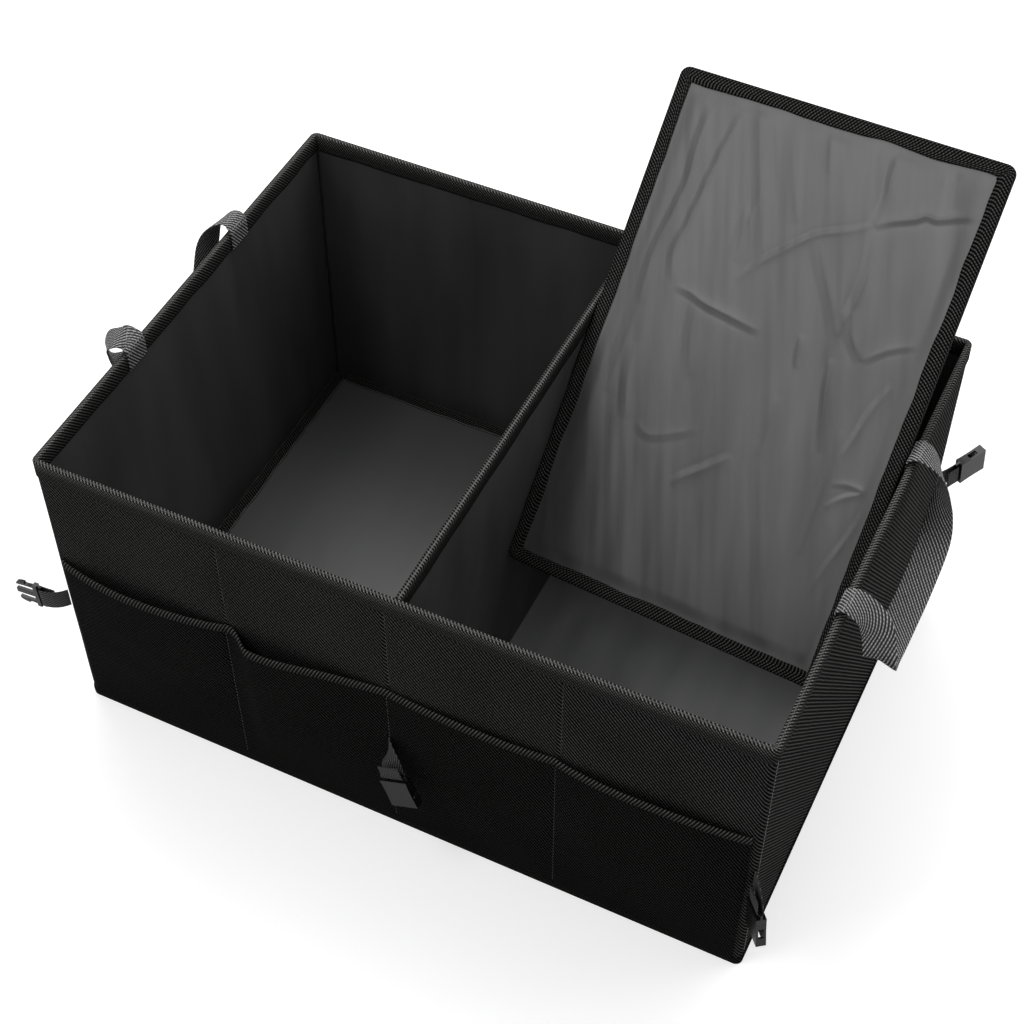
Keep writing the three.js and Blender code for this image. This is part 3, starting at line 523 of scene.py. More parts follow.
def underside_finish():
    """The same coarse cloth as the walls, laid flat under the box and a little scuffed."""
    finish = Finish("underside cloth", Roughness=0.85)
    coordinates = finish.node("ShaderNodeTexCoord").outputs["Object"]
    height = weave(finish, coordinates, WEAVE_PITCH, WEAVE_SLOPE, 0.6)
    scuffs = finish.span(finish.noise(coordinates, 40 * MM, 4.0), 0.6, 1.6)
    finish.colour(finish.mix(finish.math("MULTIPLY", height, scuffs), grey(0.003), grey(0.06)))
    finish.relief(height, 0.3 * MM)
    return finish.material


def tape_middle(span, height, fold):
    """Distance along a folded tape from its hem to the middle of its crown, over two round folds."""
    return height - fold + fold * math.pi / 2 + span / 2 - fold


RIM_MIDDLE = tape_middle(wall_depth, RIM_TAPE, FOLD_RADIUS)
DIVIDER_MIDDLE = tape_middle(2 * divider_tape_face, RIM_TAPE, FOLD_RADIUS)
POCKET_MIDDLE = tape_middle(CLOTH + 2 * (SEAT + TAPE), POCKET_TAPE, POCKET_FOLD)
POCKET_LINES = (0.8 * MM, POCKET_TAPE - 0.6 * MM)
PLATE_LINES = (0.8 * MM, PLATE_TAPE - 0.6 * MM)
wall_cloth = woven_finish("wall cloth", 0.0005, 0.082)
pocket_cloth = woven_finish("pocket cloth", 0.0003, 0.03, lean=0.5)
# The pale line along the middle of the rim and divider tapes' crown is a painted highlight on the fold
rim_tape = tape_finish("rim tape", 0.26, RIM_MIDDLE, 11 * MM, 0.28, 2.3 * MM, 50, 0.35, (RIM_MIDDLE,), 0.3)
divider_tape = tape_finish(
    "divider tape", 0.19, DIVIDER_MIDDLE, 10 * MM, 0.25, 2.6 * MM, 70, 0.45, (DIVIDER_MIDDLE,), 0.7
)
foot_tape = tape_finish("foot tape", 0.04, FOOT_TAPE / 2, FOOT_TAPE, 0.5, 2.5 * MM, 50)
pocket_tape = tape_finish(
    "pocket tape", 0.15, POCKET_MIDDLE, 7 * MM, 0.5, 2.6 * MM, 65, 0.6, POCKET_LINES, 0.5
)
left_plate_tape = tape_finish(
    "left plate tape", 0.09, 6 * MM, 6 * MM, 0.8, 2.4 * MM, 60, 0.5, PLATE_LINES, 1.6
)
right_plate_tape = tape_finish("right plate tape", 0.12, 6 * MM, 6 * MM, 0.8, 2.3 * MM, 50, 0.2)
wall_lining = film_finish("wall lining", 0.036, 0.5, 50 * MM, 0.4)
floor_lining = film_finish("floor lining", 0.21, 0.45, 45 * MM, 0.2)
left_plate_cloth = film_finish("left plate cloth", 0.062, 0.42, 60 * MM, 0.12)
right_plate_cloth = film_finish("right plate cloth", 0.055, 0.38, 28 * MM, 0.38, STREAK_LEAN)
webbing = webbing_finish("handle webbing", 2.4 * MM, 0.5)
strap_webbing = webbing_finish("strap webbing", 2 * MM, 0.12)
pale_thread = thread_finish("pale thread", 0.22)
dark_thread = thread_finish("dark thread", 0.05)
buckle_plastic = plastic_finish()
stiffener = board_finish()
underside = underside_finish()


def wall_run(corner_x, corner_y, radius, straight_steps, corner_steps=8):
    """Points and outward normals of a front panel: a quarter round, a straight run and a quarter round.

    It starts where the panel meets the left side, facing -X, runs to +X, and ends facing +X.
    """
    left = np.linspace(math.pi, 1.5 * math.pi, corner_steps + 1)
    right = np.linspace(1.5 * math.pi, 2 * math.pi, corner_steps + 1)
    middle = np.linspace(-corner_x, corner_x, straight_steps + 1)[1:-1]
    angles = np.concatenate([left, np.full(len(middle), 1.5 * math.pi), right])
    centres = np.concatenate([np.full(len(left), -corner_x), middle, np.full(len(right), corner_x)])
    normals = np.stack([np.cos(angles), np.sin(angles)], 1)
    spots = np.stack([centres, np.full(len(angles), -corner_y)], 1) + radius * normals
    return spots, normals


def groove(x, places, depth, width):
    """A soft groove at each place: depth times a bell of that width."""
    return sum(depth * np.exp(-(((x - place) / width) ** 2)) for place in places)


def long_panel(name, side, folds, seed):
    """The front (side 1) or back (side -1) panel: flat, with a stitched groove at each board fold."""
    corner_x = half_width - CORNER_RADIUS
    corner_y = half_depth - CORNER_RADIUS
    spots, normals = wall_run(corner_x, corner_y, CORNER_RADIUS - outer_face, 200)
    run = run_of(spots)
    heights = np.linspace(0, layers_top, 40)
    u, v = grid(run, heights)
    x = spots[:, 0][:, None]
    inward = groove(x, folds, FOLD_GROOVE, FOLD_GROOVE_WIDTH)
    inward = inward + 0.1 * MM * (1 + waves(u, v, seed, 160 * MM, 50 * MM))
    plan = spots[:, None, :] - normals[:, None, :] * inward[..., None]
    points = np.concatenate([plan * side, v[..., None]], 2)
    made = piece(name, points, np.stack([u, v], 2), wall_cloth, facing=(0, -side, 0), thickness=CLOTH)
    wall = "front" if side > 0 else "back"
    return settle(made, "outer_fabric", f"outer_{wall}")


def side_panel(name, side, seed):
    """A side panel, flat between the corners, with the faintest unevenness."""
    reach = half_depth - CORNER_RADIUS - SEAT
    along = np.linspace(-reach, reach, 150)
    heights = np.linspace(0, layers_top, 40)
    u, v = grid(along, heights)
    x = half_width - outer_face - 0.1 * MM * (1 + waves(u, v, seed, 160 * MM, 50 * MM))
    points = np.stack([side * x, side * u, v], 2)
    wall = "right" if side > 0 else "left"
    made = piece(name, points, np.stack([u, v], 2), wall_cloth, facing=(side, 0, 0), thickness=CLOTH)
    return settle(made, "outer_fabric", f"outer_{wall}")


def ring(depth, half_x, half_y, radius, step, corner_steps=7):
    """Plan points round a rounded rectangle at a depth inside it, the same number at every depth."""
    inner = max(radius - depth, LEAST_RADIUS)
    signs = [(1, 1), (-1, 1), (-1, -1), (1, -1)]
    corners = []
    for k, (sign_x, sign_y) in enumerate(signs):
        angles = np.linspace(0, math.pi / 2, corner_steps + 1) + k * math.pi / 2
        centre = np.array([sign_x * (half_x - depth - inner), sign_y * (half_y - depth - inner)])
        corners.append(centre + inner * np.stack([np.cos(angles), np.sin(angles)], 1))
    runs = []
    for k in range(4):
        count = int((half_x, half_y)[k % 2] * 2 / step)
        shares = np.linspace(0, 1, count + 1)[1:-1, None]
        start, end = corners[k][-1], corners[(k + 1) % 4][0]
        runs += [corners[k], start + (end - start) * shares]
    return np.concatenate(runs)


def folded_strip(span, height, thickness, fold, leg_steps=6, arc_steps=6):
    """Section of a tape folded over an edge: (across, drop) round its outer face and back inside it.

    across runs over the edge from 0 to span, and drop runs down the legs. The crown has two round folds.
    """
    drops = np.linspace(height, fold, leg_steps + 1)
    angles = np.linspace(0, math.pi / 2, arc_steps + 1)[1:]
    def outline(inset):
        radius = fold - inset
        first = np.stack([np.full(len(drops), inset), drops], 1)
        rise = np.stack([fold - radius * np.cos(angles), fold - radius * np.sin(angles)], 1)
        fall = np.stack([span - fold + radius * np.sin(angles), fold - radius * np.cos(angles)], 1)
        last = np.stack([np.full(len(drops), span - inset), drops[::-1]], 1)
        return np.concatenate([first, rise, fall, last[1:]])
    return outline(0.0), outline(thickness)


def closed_section(outer, inner):
    """An outer and an inner outline as one closed one, with the distance along the tape at each point."""
    run = run_of(outer)
    points = np.concatenate([outer, inner[::-1]])
    spread = np.concatenate([run, run[::-1], run[:1]])
    return points, spread


def ring_tape(name, section, spread, half_x, half_y, radius, material, wobble=None, step=3 * MM):
    """A tape round a rounded rectangle. section gives (depth inwards, height) for each point."""
    columns = [ring(depth, half_x, half_y, radius, step) for depth, _ in section]
    plan = np.stack(columns, 1)
    heights = np.broadcast_to(section[:, 1], plan.shape[:2])
    base = ring(0.0, half_x, half_y, radius, step)
    run = run_of(np.concatenate([base, base[:1]]))
    out = base - ring(radius / 2, half_x, half_y, radius, step)
    out = out / np.linalg.norm(out, axis=1, keepdims=True)
    points = np.concatenate([plan, heights[..., None]], 2)
    if wobble is not None:
        push, lift = wobble(run[:-1, None], section)
        points[..., :2] += out[:, None, :] * push[..., None]
        points[..., 2] += lift
    u, v = grid(run, spread)
    return piece(name, points, np.stack([u, v], 2), material, wrap=(True, True))


def make_rim_tape():
    """The tape over the box's edge, with hems that wander a little and legs that lie close."""
    outer, inner = folded_strip(wall_depth, RIM_TAPE, TAPE, FOLD_RADIUS)
    section, spread = closed_section(outer, inner)
    section = np.stack([section[:, 0], rim_top - section[:, 1]], 1)

    def wobble(run, profile):
        low = np.clip((rim_top - profile[:, 1]) / RIM_TAPE, 0, 1)
        lift = low * 0.5 * MM * waves(run, np.zeros_like(run), 21, 90 * MM, 18 * MM)
        outwards = np.where(profile[:, 0] < wall_depth / 2, 1, -1)
        push = outwards * low * 0.12 * MM * (1 + waves(run, np.ones_like(run), 22, 60 * MM, 12 * MM))
        return push, lift

    made = ring_tape("rim_tape", section, spread, half_width, half_depth, CORNER_RADIUS, rim_tape, wobble)
    return settle(made, "binding_tape", "rim_binding")


def make_foot_tape():
    """The band round the foot, a little proud in its middle."""
    heights = np.linspace(0, FOOT_TAPE, 7)
    outer = np.stack([0.25 * MM * (1 - np.sin(math.pi * heights / FOOT_TAPE)), heights], 1)
    inner = np.stack([np.full(len(heights), TAPE), heights], 1)
    section, spread = closed_section(outer, inner)
    made = ring_tape("foot_tape", section, spread, half_width, half_depth, CORNER_RADIUS, foot_tape)
    return settle(made, "binding_tape", "bottom_binding")


def stitches(name, middles, directions, outwards, length, radius, material):
    """A row of stitches: each a spindle along its direction, bowed outwards, with ends that dip in.

    A point is middle + direction * length * t / 2 + radius * sqrt(1 - t * t) * ring, t from -1 to 1.
    """
    shares = np.array([-0.95, -0.6, 0.0, 0.6, 0.95])
    angles = np.linspace(0, math.tau, 6, endpoint=False)
    sides = np.cross(directions, outwards)
    thick = radius * np.sqrt(1 - shares**2)
    centre = middles[:, None, :] + directions[:, None, :] * (length / 2 * shares)[None, :, None]
    around = (
        sides[:, None, None, :] * np.cos(angles)[None, None, :, None]
        + outwards[:, None, None, :] * np.sin(angles)[None, None, :, None]
    )
    points = centre[:, :, None, :] + around * thick[None, :, None, None]
    count, stations, sides_count = len(middles), len(shares), len(angles)
    i, j = grid(np.arange(stations - 1), np.arange(sides_count))
    i, j = i.ravel(), j.ravel()
    turn = (j + 1) % sides_count
    low, high = i * sides_count, (i + 1) * sides_count
    one = np.stack([low + j, low + turn, high + turn, high + j], 1)
    starts = np.arange(count)[:, None, None] * stations * sides_count
    quads = (one[None] + starts).reshape(-1, 4)
    first = np.arange(sides_count)
    last = first + (stations - 1) * sides_count
    flat = points.reshape(-1, 3)
    turned = volume_of(flat, quads) < 0
    ends = (last[::-1], first) if turned else (first[::-1], last)
    if turned:
        quads = quads[:, ::-1]
    caps = [(end[None] + starts[:, 0]).tolist() for end in ends]
    mesh = bpy.data.meshes.new(name)
    mesh.from_pydata(flat.tolist(), [], quads.tolist() + caps[0] + caps[1])
    mesh.polygons.foreach_set("use_smooth", np.ones(len(mesh.polygons), dtype=bool))
    mesh.update()
    return settle(link(name, mesh, material), "webbing")


def seam_x(k):
    """X of pocket seam k, from 0 at the left end to 4 at the right end."""
    reach = half_width - CORNER_RADIUS - POCKET_SIDE_GAP
    return [-reach, MIDDLE_SEAM - POCKET_PITCH, MIDDLE_SEAM, MIDDLE_SEAM + POCKET_PITCH, reach][k]


def mouth_sag(share, sags):
    """How far a pocket's mouth stands out: each bulge's depth times a power of a sine bent to its peak."""
    total = np.zeros_like(share)
    for peak, depth, narrowness in sags:
        bent = np.where(share < peak, 0.5 * share / peak, 0.5 + 0.5 * (share - peak) / (1 - peak))
        total += depth * np.abs(np.sin(math.pi * bent)) ** narrowness
    return total


pocket_base = SEAT + TAPE + SEAT
pocket_foot = FOOT_TAPE + SEAT


def pocket_stations(steps):
    """X and mouth sag at each station across the four pockets, closer together near their seams."""
    xs, sags = [], []
    for k in range(4):
        share = 0.5 - 0.5 * np.cos(np.linspace(0, math.pi, steps + 1))
        keep = slice(0 if k == 0 else 1, None)
        xs.append((seam_x(k) + (seam_x(k + 1) - seam_x(k)) * share)[keep])
        sags.append(mouth_sag(share, MOUTH_SAGS[k])[keep])
    return np.concatenate(xs), np.concatenate(sags)


def pocket_stand_off(sag, rise):
    """Distance of the cloth's back from the wall: its seat, and the sag flared by a power of a sine."""
    flare = np.sin(np.clip(rise, 0, 1) * math.pi / 2) ** MOUTH_FLARE
    return SEAT + (pocket_base - SEAT) * rise + sag * flare


def make_pocket_cloth():
    """The pocket cloth: pinned at its seams, with soft puckers beside them."""
    xs, sags = pocket_stations(70)
    wall = -(half_depth - outer_face)
    rise = np.linspace(0, 1, 70)[None, :]
    top = (POCKET_HEIGHT - sags * MOUTH_DROP_SHARE - TAPE - SEAT)[:, None]
    z = pocket_foot + (top - pocket_foot) * rise
    to_seam = np.min([np.abs(xs - seam_x(k)) for k in range(5)], axis=0)[:, None]
    rows = 1 + np.cos(math.tau * z / (11 * MM))
    puckers = 0.35 * MM * np.exp(-to_seam / (9 * MM)) * rows * fade(to_seam, 2 * MM)
    soft = 0.5 * MM * (1 + waves(xs[:, None], z, 31, 120 * MM, 40 * MM)) * fade(to_seam, 30 * MM)
    soft = soft * np.sin(math.pi * np.clip(rise, 0, 1))
    y = wall - pocket_stand_off(sags[:, None], rise) - CLOTH - puckers - np.clip(soft, 0, None)
    points = np.stack([np.broadcast_to(xs[:, None], z.shape), y, z], 2)
    uv = np.stack([np.broadcast_to(xs[:, None], z.shape), z], 2)
    made = piece("pocket_cloth", points, uv, pocket_cloth, facing=(0, -1, 0), thickness=CLOTH)
    return settle(made, "outer_fabric", "pocket_panel")


def make_pocket_tape():
    """The tape over the pockets' mouth, which follows its sag from end to end."""
    xs, sags = pocket_stations(70)
    wall = -(half_depth - outer_face)
    span = CLOTH + 2 * (SEAT + TAPE)
    outer, inner = folded_strip(span, POCKET_TAPE + TAPE + SEAT, TAPE, POCKET_FOLD, leg_steps=4)
    section, spread = closed_section(outer, inner)
    crown = (POCKET_HEIGHT - sags * MOUTH_DROP_SHARE)[:, None]
    z = crown - section[:, 1]
    cloth_top = crown - TAPE - SEAT
    rise = np.clip((z - pocket_foot) / (cloth_top - pocket_foot), 0, 1)
    y = wall - pocket_stand_off(sags[:, None], rise) + SEAT + TAPE - section[:, 0]
    points = np.stack([np.broadcast_to(xs[:, None], z.shape), y, z], 2)
    run = run_of(np.stack([xs, -sags], 1))
    u, v = grid(run, spread)
    made = piece("pocket_tape", points, np.stack([u, v], 2), pocket_tape, wrap=(False, True), caps=True)
    return settle(made, "binding_tape", "pocket_binding")


def lining_relief(u, v, seed, height, folds=()):
    """Soft wrinkles that rise from the board and die out at hem, foot and ends, with fold grooves.

    They are long waves, and a few short ones where the slack is greatest.
    """
    slack = waves(u, v, seed, 260 * MM, 90 * MM, upright=1.4)
    fine = waves(u, v, seed + 1, 70 * MM, 30 * MM, upright=1.5)
    wrinkles = slack + 0.3 * fine * np.clip(slack, 0, None)
    room = fade(layers_top - RIM_TAPE - v, 45 * MM) * fade(v, 50 * MM)
    ends = fade(u - u.min(), 25 * MM) * fade(u.max() - u, 25 * MM)
    rise = height * np.clip(0.6 + 0.5 * wrinkles, 0, None) * room * ends
    return rise - groove(u, folds, FOLD_GROOVE, FOLD_GROOVE_WIDTH)


def wall_lining_piece(name, facing, height, seed):
    """The smooth lining of one wall, seen from inside the box."""
    direction = np.array(facing)
    long_wall = facing[1] != 0
    reach = (half_width - lining_face) if long_wall else (half_depth - lining_back - SEAT)
    face = (half_depth if long_wall else half_width) - lining_back
    along = np.linspace(-reach, reach, 170 if long_wall else 130)
    heights = np.linspace(inside_foot, layers_top, 70)
    u, v = grid(along, heights)
    folds = (-FOLD_PITCH, 0, FOLD_PITCH) if long_wall else ()
    off = face - lining_relief(u, v, seed, height, folds)
    if long_wall:
        points = np.stack([u, -direction[1] * off, v], 2)
    else:
        points = np.stack([-direction[0] * off, u, v], 2)
    made = piece(f"{name}_cloth", points, np.stack([u, v], 2), wall_lining, facing=facing, thickness=LINING)
    return settle(made, "lining", name)


lean = math.atan2(DIVIDER_SHIFT, rim_top)
divider_top = rim_top / math.cos(lean) - divider_tape_face * math.tan(lean)
divider_foot = inside_foot + divider_tape_face * math.tan(lean) + SEAT


def divider_right(height):
    """X of the right face of the divider's cover at a height."""
    return height * math.tan(lean) + divider_cover_face / math.cos(lean)


def leaned(points):
    """Points of the upright divider, turned about Y at its foot so that its top goes to the right."""
    x, y, z = (points[..., k] for k in range(3))
    across = x * math.cos(lean) + z * math.sin(lean)
    return np.stack([across, y, z * math.cos(lean) - x * math.sin(lean)], -1)


def make_divider():
    """The divider's cover and the tape over its top, which both run from front to back."""
    reach = half_depth - wall_depth - SEAT
    along = np.linspace(-reach, reach, 150)
    top = divider_top - TAPE - SEAT
    span, height = 2 * divider_cover_face, top - divider_foot
    section, spread = closed_section(*folded_strip(span, height, LINING, FOLD_RADIUS, leg_steps=50))
    y = np.broadcast_to(along[:, None], (len(along), len(section)))
    z = top - section[:, 1]
    right = section[:, 0] > divider_cover_face
    low = fade(z - divider_foot, 50 * MM) * fade(top - RIM_TAPE - z, 40 * MM)
    ends = fade(reach - np.abs(along), 25 * MM)[:, None]
    left_relief, right_relief = (
        waves(y, z[None, :], seed, 130 * MM, 30 * MM, upright=2.0) for seed in (41, 43)
    )
    relief = np.where(right, right_relief, left_relief)
    near_wedge = np.hypot(along[:, None] - LIFTED_DEPTH, z[None, :] - LIFTED_HEIGHT)
    clear_of_wedge = np.where(right, fade(near_wedge, 60 * MM), 1.0)
    rise = 1.1 * MM * np.clip(0.6 + 0.5 * relief, 0, None) * low * ends * clear_of_wedge
    push = np.where(right, 1, -1) * rise
    x = section[:, 0] - divider_cover_face + push
    points = leaned(np.stack([x, y, np.broadcast_to(z, y.shape)], 2))
    u, v = grid(along, spread)
    cover = piece("divider_cloth", points, np.stack([u, v], 2), wall_lining, wrap=(False, True), caps=True)
    settle(cover, "lining", "divider_cover")

    section, spread = closed_section(*folded_strip(2 * divider_tape_face, RIM_TAPE, TAPE, FOLD_RADIUS))
    y = np.broadcast_to(along[:, None], (len(along), len(section)))
    low = np.clip(section[:, 1] / RIM_TAPE, 0, 1)
    lift = low * 0.5 * MM * waves(along, np.zeros_like(along), 45, 90 * MM, 18 * MM)[:, None]
    x = np.broadcast_to(section[:, 0] - divider_tape_face, y.shape)
    points = leaned(np.stack([x, y, divider_top - section[:, 1] + lift], 2))
    u, v = grid(along, spread)
    tape = piece("divider_tape", points, np.stack([u, v], 2), divider_tape, wrap=(False, True), caps=True)
    return settle(tape, "binding_tape", "divider_binding")


def make_floor_lining():
    """The floor's lining: flat under the left plate, slack and wrinkled under the lifted right one."""
    reach_x = half_width - lining_back
    reach_y = half_depth - lining_back
    u, v = grid(np.linspace(-reach_x, reach_x, 142), np.linspace(-reach_y, reach_y, 90))
    inside = fade(u - 12 * MM, 30 * MM) * fade(reach_x - u, 30 * MM) * fade(reach_y - np.abs(v), 30 * MM)
    slack = waves(u, v, 51, 160 * MM, 50 * MM, upright=1.5) + 0.4 * waves(u, v, 52, 50 * MM, 20 * MM)
    z = floor_top + 1.6 * MM * np.clip(0.5 + 0.5 * slack, 0, None) * inside
    points, uv = np.stack([u, v, z], 2), np.stack([u, v], 2)
    made = piece("floor_cloth", points, uv, floor_lining, facing=(0, 0, 1), thickness=LINING)
    return settle(made, "lining", "lining_floor")


plate_cover_half = PLATE_BOARD / 2 + SEAT + PLATE_COVER
plate_half = plate_cover_half + SEAT + TAPE
plate_thickness = 2 * plate_half
right_room = half_width - lining_back - divider_right(inside_foot + plate_thickness)
plate_width = right_room - 2 * PLATE_SIDE_CLEARANCE
plate_length = 2 * (half_depth - lining_back - PLATE_END_CLEARANCE)


def left_frame():
    """The left plate's axes and middle: flat on the floor, against the left and back walls."""
    middle = np.array([
        -half_width + wall_depth + SEAT + plate_width / 2,
        half_depth - wall_depth - SEAT - plate_length / 2,
        inside_foot + plate_half,
    ])
    return np.eye(3), middle


def lifted_frame():
    """The lifted plate's axes and middle: tilted back, rolled about its length and turned in its own plane.

    Its low left corner meets the divider and its right edge meets the handle's end inside the rim.
    """
    along = np.array([0, math.cos(LIFTED_TILT), math.sin(LIFTED_TILT)])
    face = np.array([0, -math.sin(LIFTED_TILT), math.cos(LIFTED_TILT)])
    across = np.array([math.cos(LIFTED_ROLL), 0, 0]) + face * math.sin(LIFTED_ROLL)
    corner_x = divider_right(LIFTED_HEIGHT) + plate_thickness * math.sin(LIFTED_ROLL) + WEDGE_CLEARANCE
    rim_x = half_width - wall_depth - SEAT - HANDLE_THICKNESS - WEDGE_CLEARANCE
    reach = (rim_x - corner_x) / math.cos(LIFTED_ROLL)
    rise = (rim_top - LIFTED_HEIGHT - plate_width * across[2]) / along[2]
    turn = math.atan2(rise, plate_width) - math.acos(reach / math.hypot(plate_width, rise))
    length = along * math.cos(turn) + across * math.sin(turn)
    width = across * math.cos(turn) - along * math.sin(turn)
    normal = np.cross(width, length)
    corner = np.array([corner_x, LIFTED_DEPTH, LIFTED_HEIGHT])
    middle = corner + width * plate_width / 2 + length * plate_length / 2 + normal * plate_half
    return np.stack([width, length, normal]), middle


# The lifted plate's corners in the photograph, in pixels: near left, near right, far right and far left
PLATE_IN_PHOTO = ((520, 566), (803, 688), (1014, 142), (690, 67))

# Creases of the lifted plate's upper face: the pixels that each runs through in the photograph, the
# height in millimetres of its ridge, its width in millimetres, and the painted shade in its fold, up to 1
LIFTED_CREASES = [
    (((721, 101), (707, 131), (691, 187), (657, 264), (644, 311)), 0.7, 4, 0.55),
    (((747, 108), (722, 158), (709, 187), (691, 229), (677, 258), (675, 285)), 0.7, 3.5, 0.5),
    (((644, 311), (630, 350), (612, 400)), 0.4, 6, 0.2),
    (((762, 99), (761, 180), (762, 262)), 0.5, 6, 0.45),
    (((763, 190), (745, 225), (735, 262)), 0.4, 5, 0.25),
    (((794, 110), (792, 165), (794, 219)), 0.5, 10, 0.5),
    (((830, 121), (826, 166)), 0.4, 6, 0.45),
    (((898, 133), (888, 162), (884, 182), (877, 199), (869, 215)), 0.6, 3.5, 0.65),
    (((953, 150), (948, 192)), 0.4, 6, 0.35),
    (((869, 216), (885, 210), (911, 205), (922, 201), (930, 204), (960, 200), (982, 205)), 0.9, 3, 1),
    (((869, 216), (844, 223), (815, 229), (787, 244), (760, 261), (735, 281)), 0.6, 3, 0.55),
    (((679, 291), (693, 297), (707, 307), (732, 319), (757, 331)), 0.9, 3.5, 1),
    (((869, 221), (866, 244), (859, 272), (844, 305), (830, 331), (819, 362)), 0.6, 4, 0.4),
    (((816, 234), (820, 264), (826, 295), (830, 331)), 0.5, 6, 0.45),
    (((844, 305), (846, 331), (854, 354)), 0.7, 5, 0.6),
    (((854, 354), (881, 341), (908, 335)), 0.5, 3, 0.4),
    (((797, 331), (792, 354), (790, 366)), 0.6, 2.5, 0.8),
    (((826, 354), (820, 379), (815, 415), (811, 448)), 0.8, 3, 0.9),
    (((834, 426), (825, 461), (815, 485), (803, 514), (790, 552)), 0.6, 3.5, 0.5),
    (((822, 480), (838, 480), (852, 487), (832, 494), (815, 504)), 0.7, 2.5, 0.6),
    (((900, 425), (880, 461), (866, 483), (850, 514), (831, 542), (816, 563), (795, 597)), 0.6, 3, 0.6),
    (((884, 377), (862, 405), (846, 432), (833, 453)), 0.5, 3, 0.45),
    (((728, 458), (703, 471), (682, 481), (671, 488)), 0.7, 4, 0.6),
    (((640, 428), (650, 440), (682, 436), (696, 431)), 0.4, 4, 0.4),
    (((754, 440), (753, 540), (752, 652)), 0.4, 6, 0.35),
    (((772, 395), (762, 428), (753, 455)), 0.4, 4, 0.3),
    (((700, 300), (692, 340), (690, 380)), 0.5, 5, 0.35),
    (((640, 350), (632, 390), (630, 425)), 0.4, 5, 0.25),
    (((820, 600), (800, 640), (788, 672)), 0.4, 5, 0.3),
]


def plate_spots(pixels, width, length):
    """Places on the plate, from its middle, of pixels on it: the perspective map that takes the plate's
    four corners in the photograph to its real ones."""
    real = np.array([(-1, -1), (1, -1), (1, 1), (-1, 1)]) * (width / 2, length / 2)
    rows, sums = [], []
    for (x, y), (u, v) in zip(PLATE_IN_PHOTO, real):
        rows += [[x, y, 1, 0, 0, 0, -u * x, -u * y], [0, 0, 0, x, y, 1, -v * x, -v * y]]
        sums += [u, v]
    change = np.append(np.linalg.solve(np.array(rows, float), sums), 1.0).reshape(3, 3)
    spots = np.column_stack([pixels, np.ones(len(pixels))]) @ change.T
    return spots[:, :2] / spots[:, 2:]


def crease(u, v, stops, height, width):
    """A crease's rise and the painted shade in its fold, 0 to 1, along a line through its stops.

    The rise is a sharp ridge whose height falls off exponentially to both sides, with a shallow hollow
    along one of them. The painted shade is a narrow bell in that hollow. Both fade out at the crease's ends.
    """
    line = through(stops, 6 * len(stops))
    run = run_of(line)
    nearest = np.full(u.shape, np.inf)
    side, along = np.zeros_like(u), np.zeros_like(u)
    for start, step, passed in zip(line, np.diff(line, axis=0), run):
        long = np.linalg.norm(step)
        share = np.clip(((u - start[0]) * step[0] + (v - start[1]) * step[1]) / long**2, 0, 1)
        off_u, off_v = u - start[0] - share * step[0], v - start[1] - share * step[1]
        distance = np.hypot(off_u, off_v)
        closer = distance < nearest
        nearest = np.where(closer, distance, nearest)
        side = np.where(closer, np.sign(off_u * step[1] - off_v * step[0]), side)
        along = np.where(closer, (passed + share * long) / run[-1], along)
    off = side * nearest / width
    strength = np.sin(math.pi * np.clip(along, 0, 1)) ** 0.6
    rise = height * strength * (np.exp(-np.abs(off)) - 0.5 * np.exp(-np.abs(off - 1.5) * 1.3))
    return rise, strength * np.exp(-((off / FOLD_NARROWNESS) ** 2))


UNDER_STEPS = 12
# How narrow the painted fold shade is, as a share of a crease's width
FOLD_NARROWNESS = 0.3


def plate_outline(v, half_x, half_y, radius):
    """Half the width of a rounded rectangle at v along its length."""
    past = np.clip(np.abs(v) - (half_y - radius), 0, radius)
    return half_x - radius + np.sqrt(np.clip(radius**2 - past**2, 0, None))


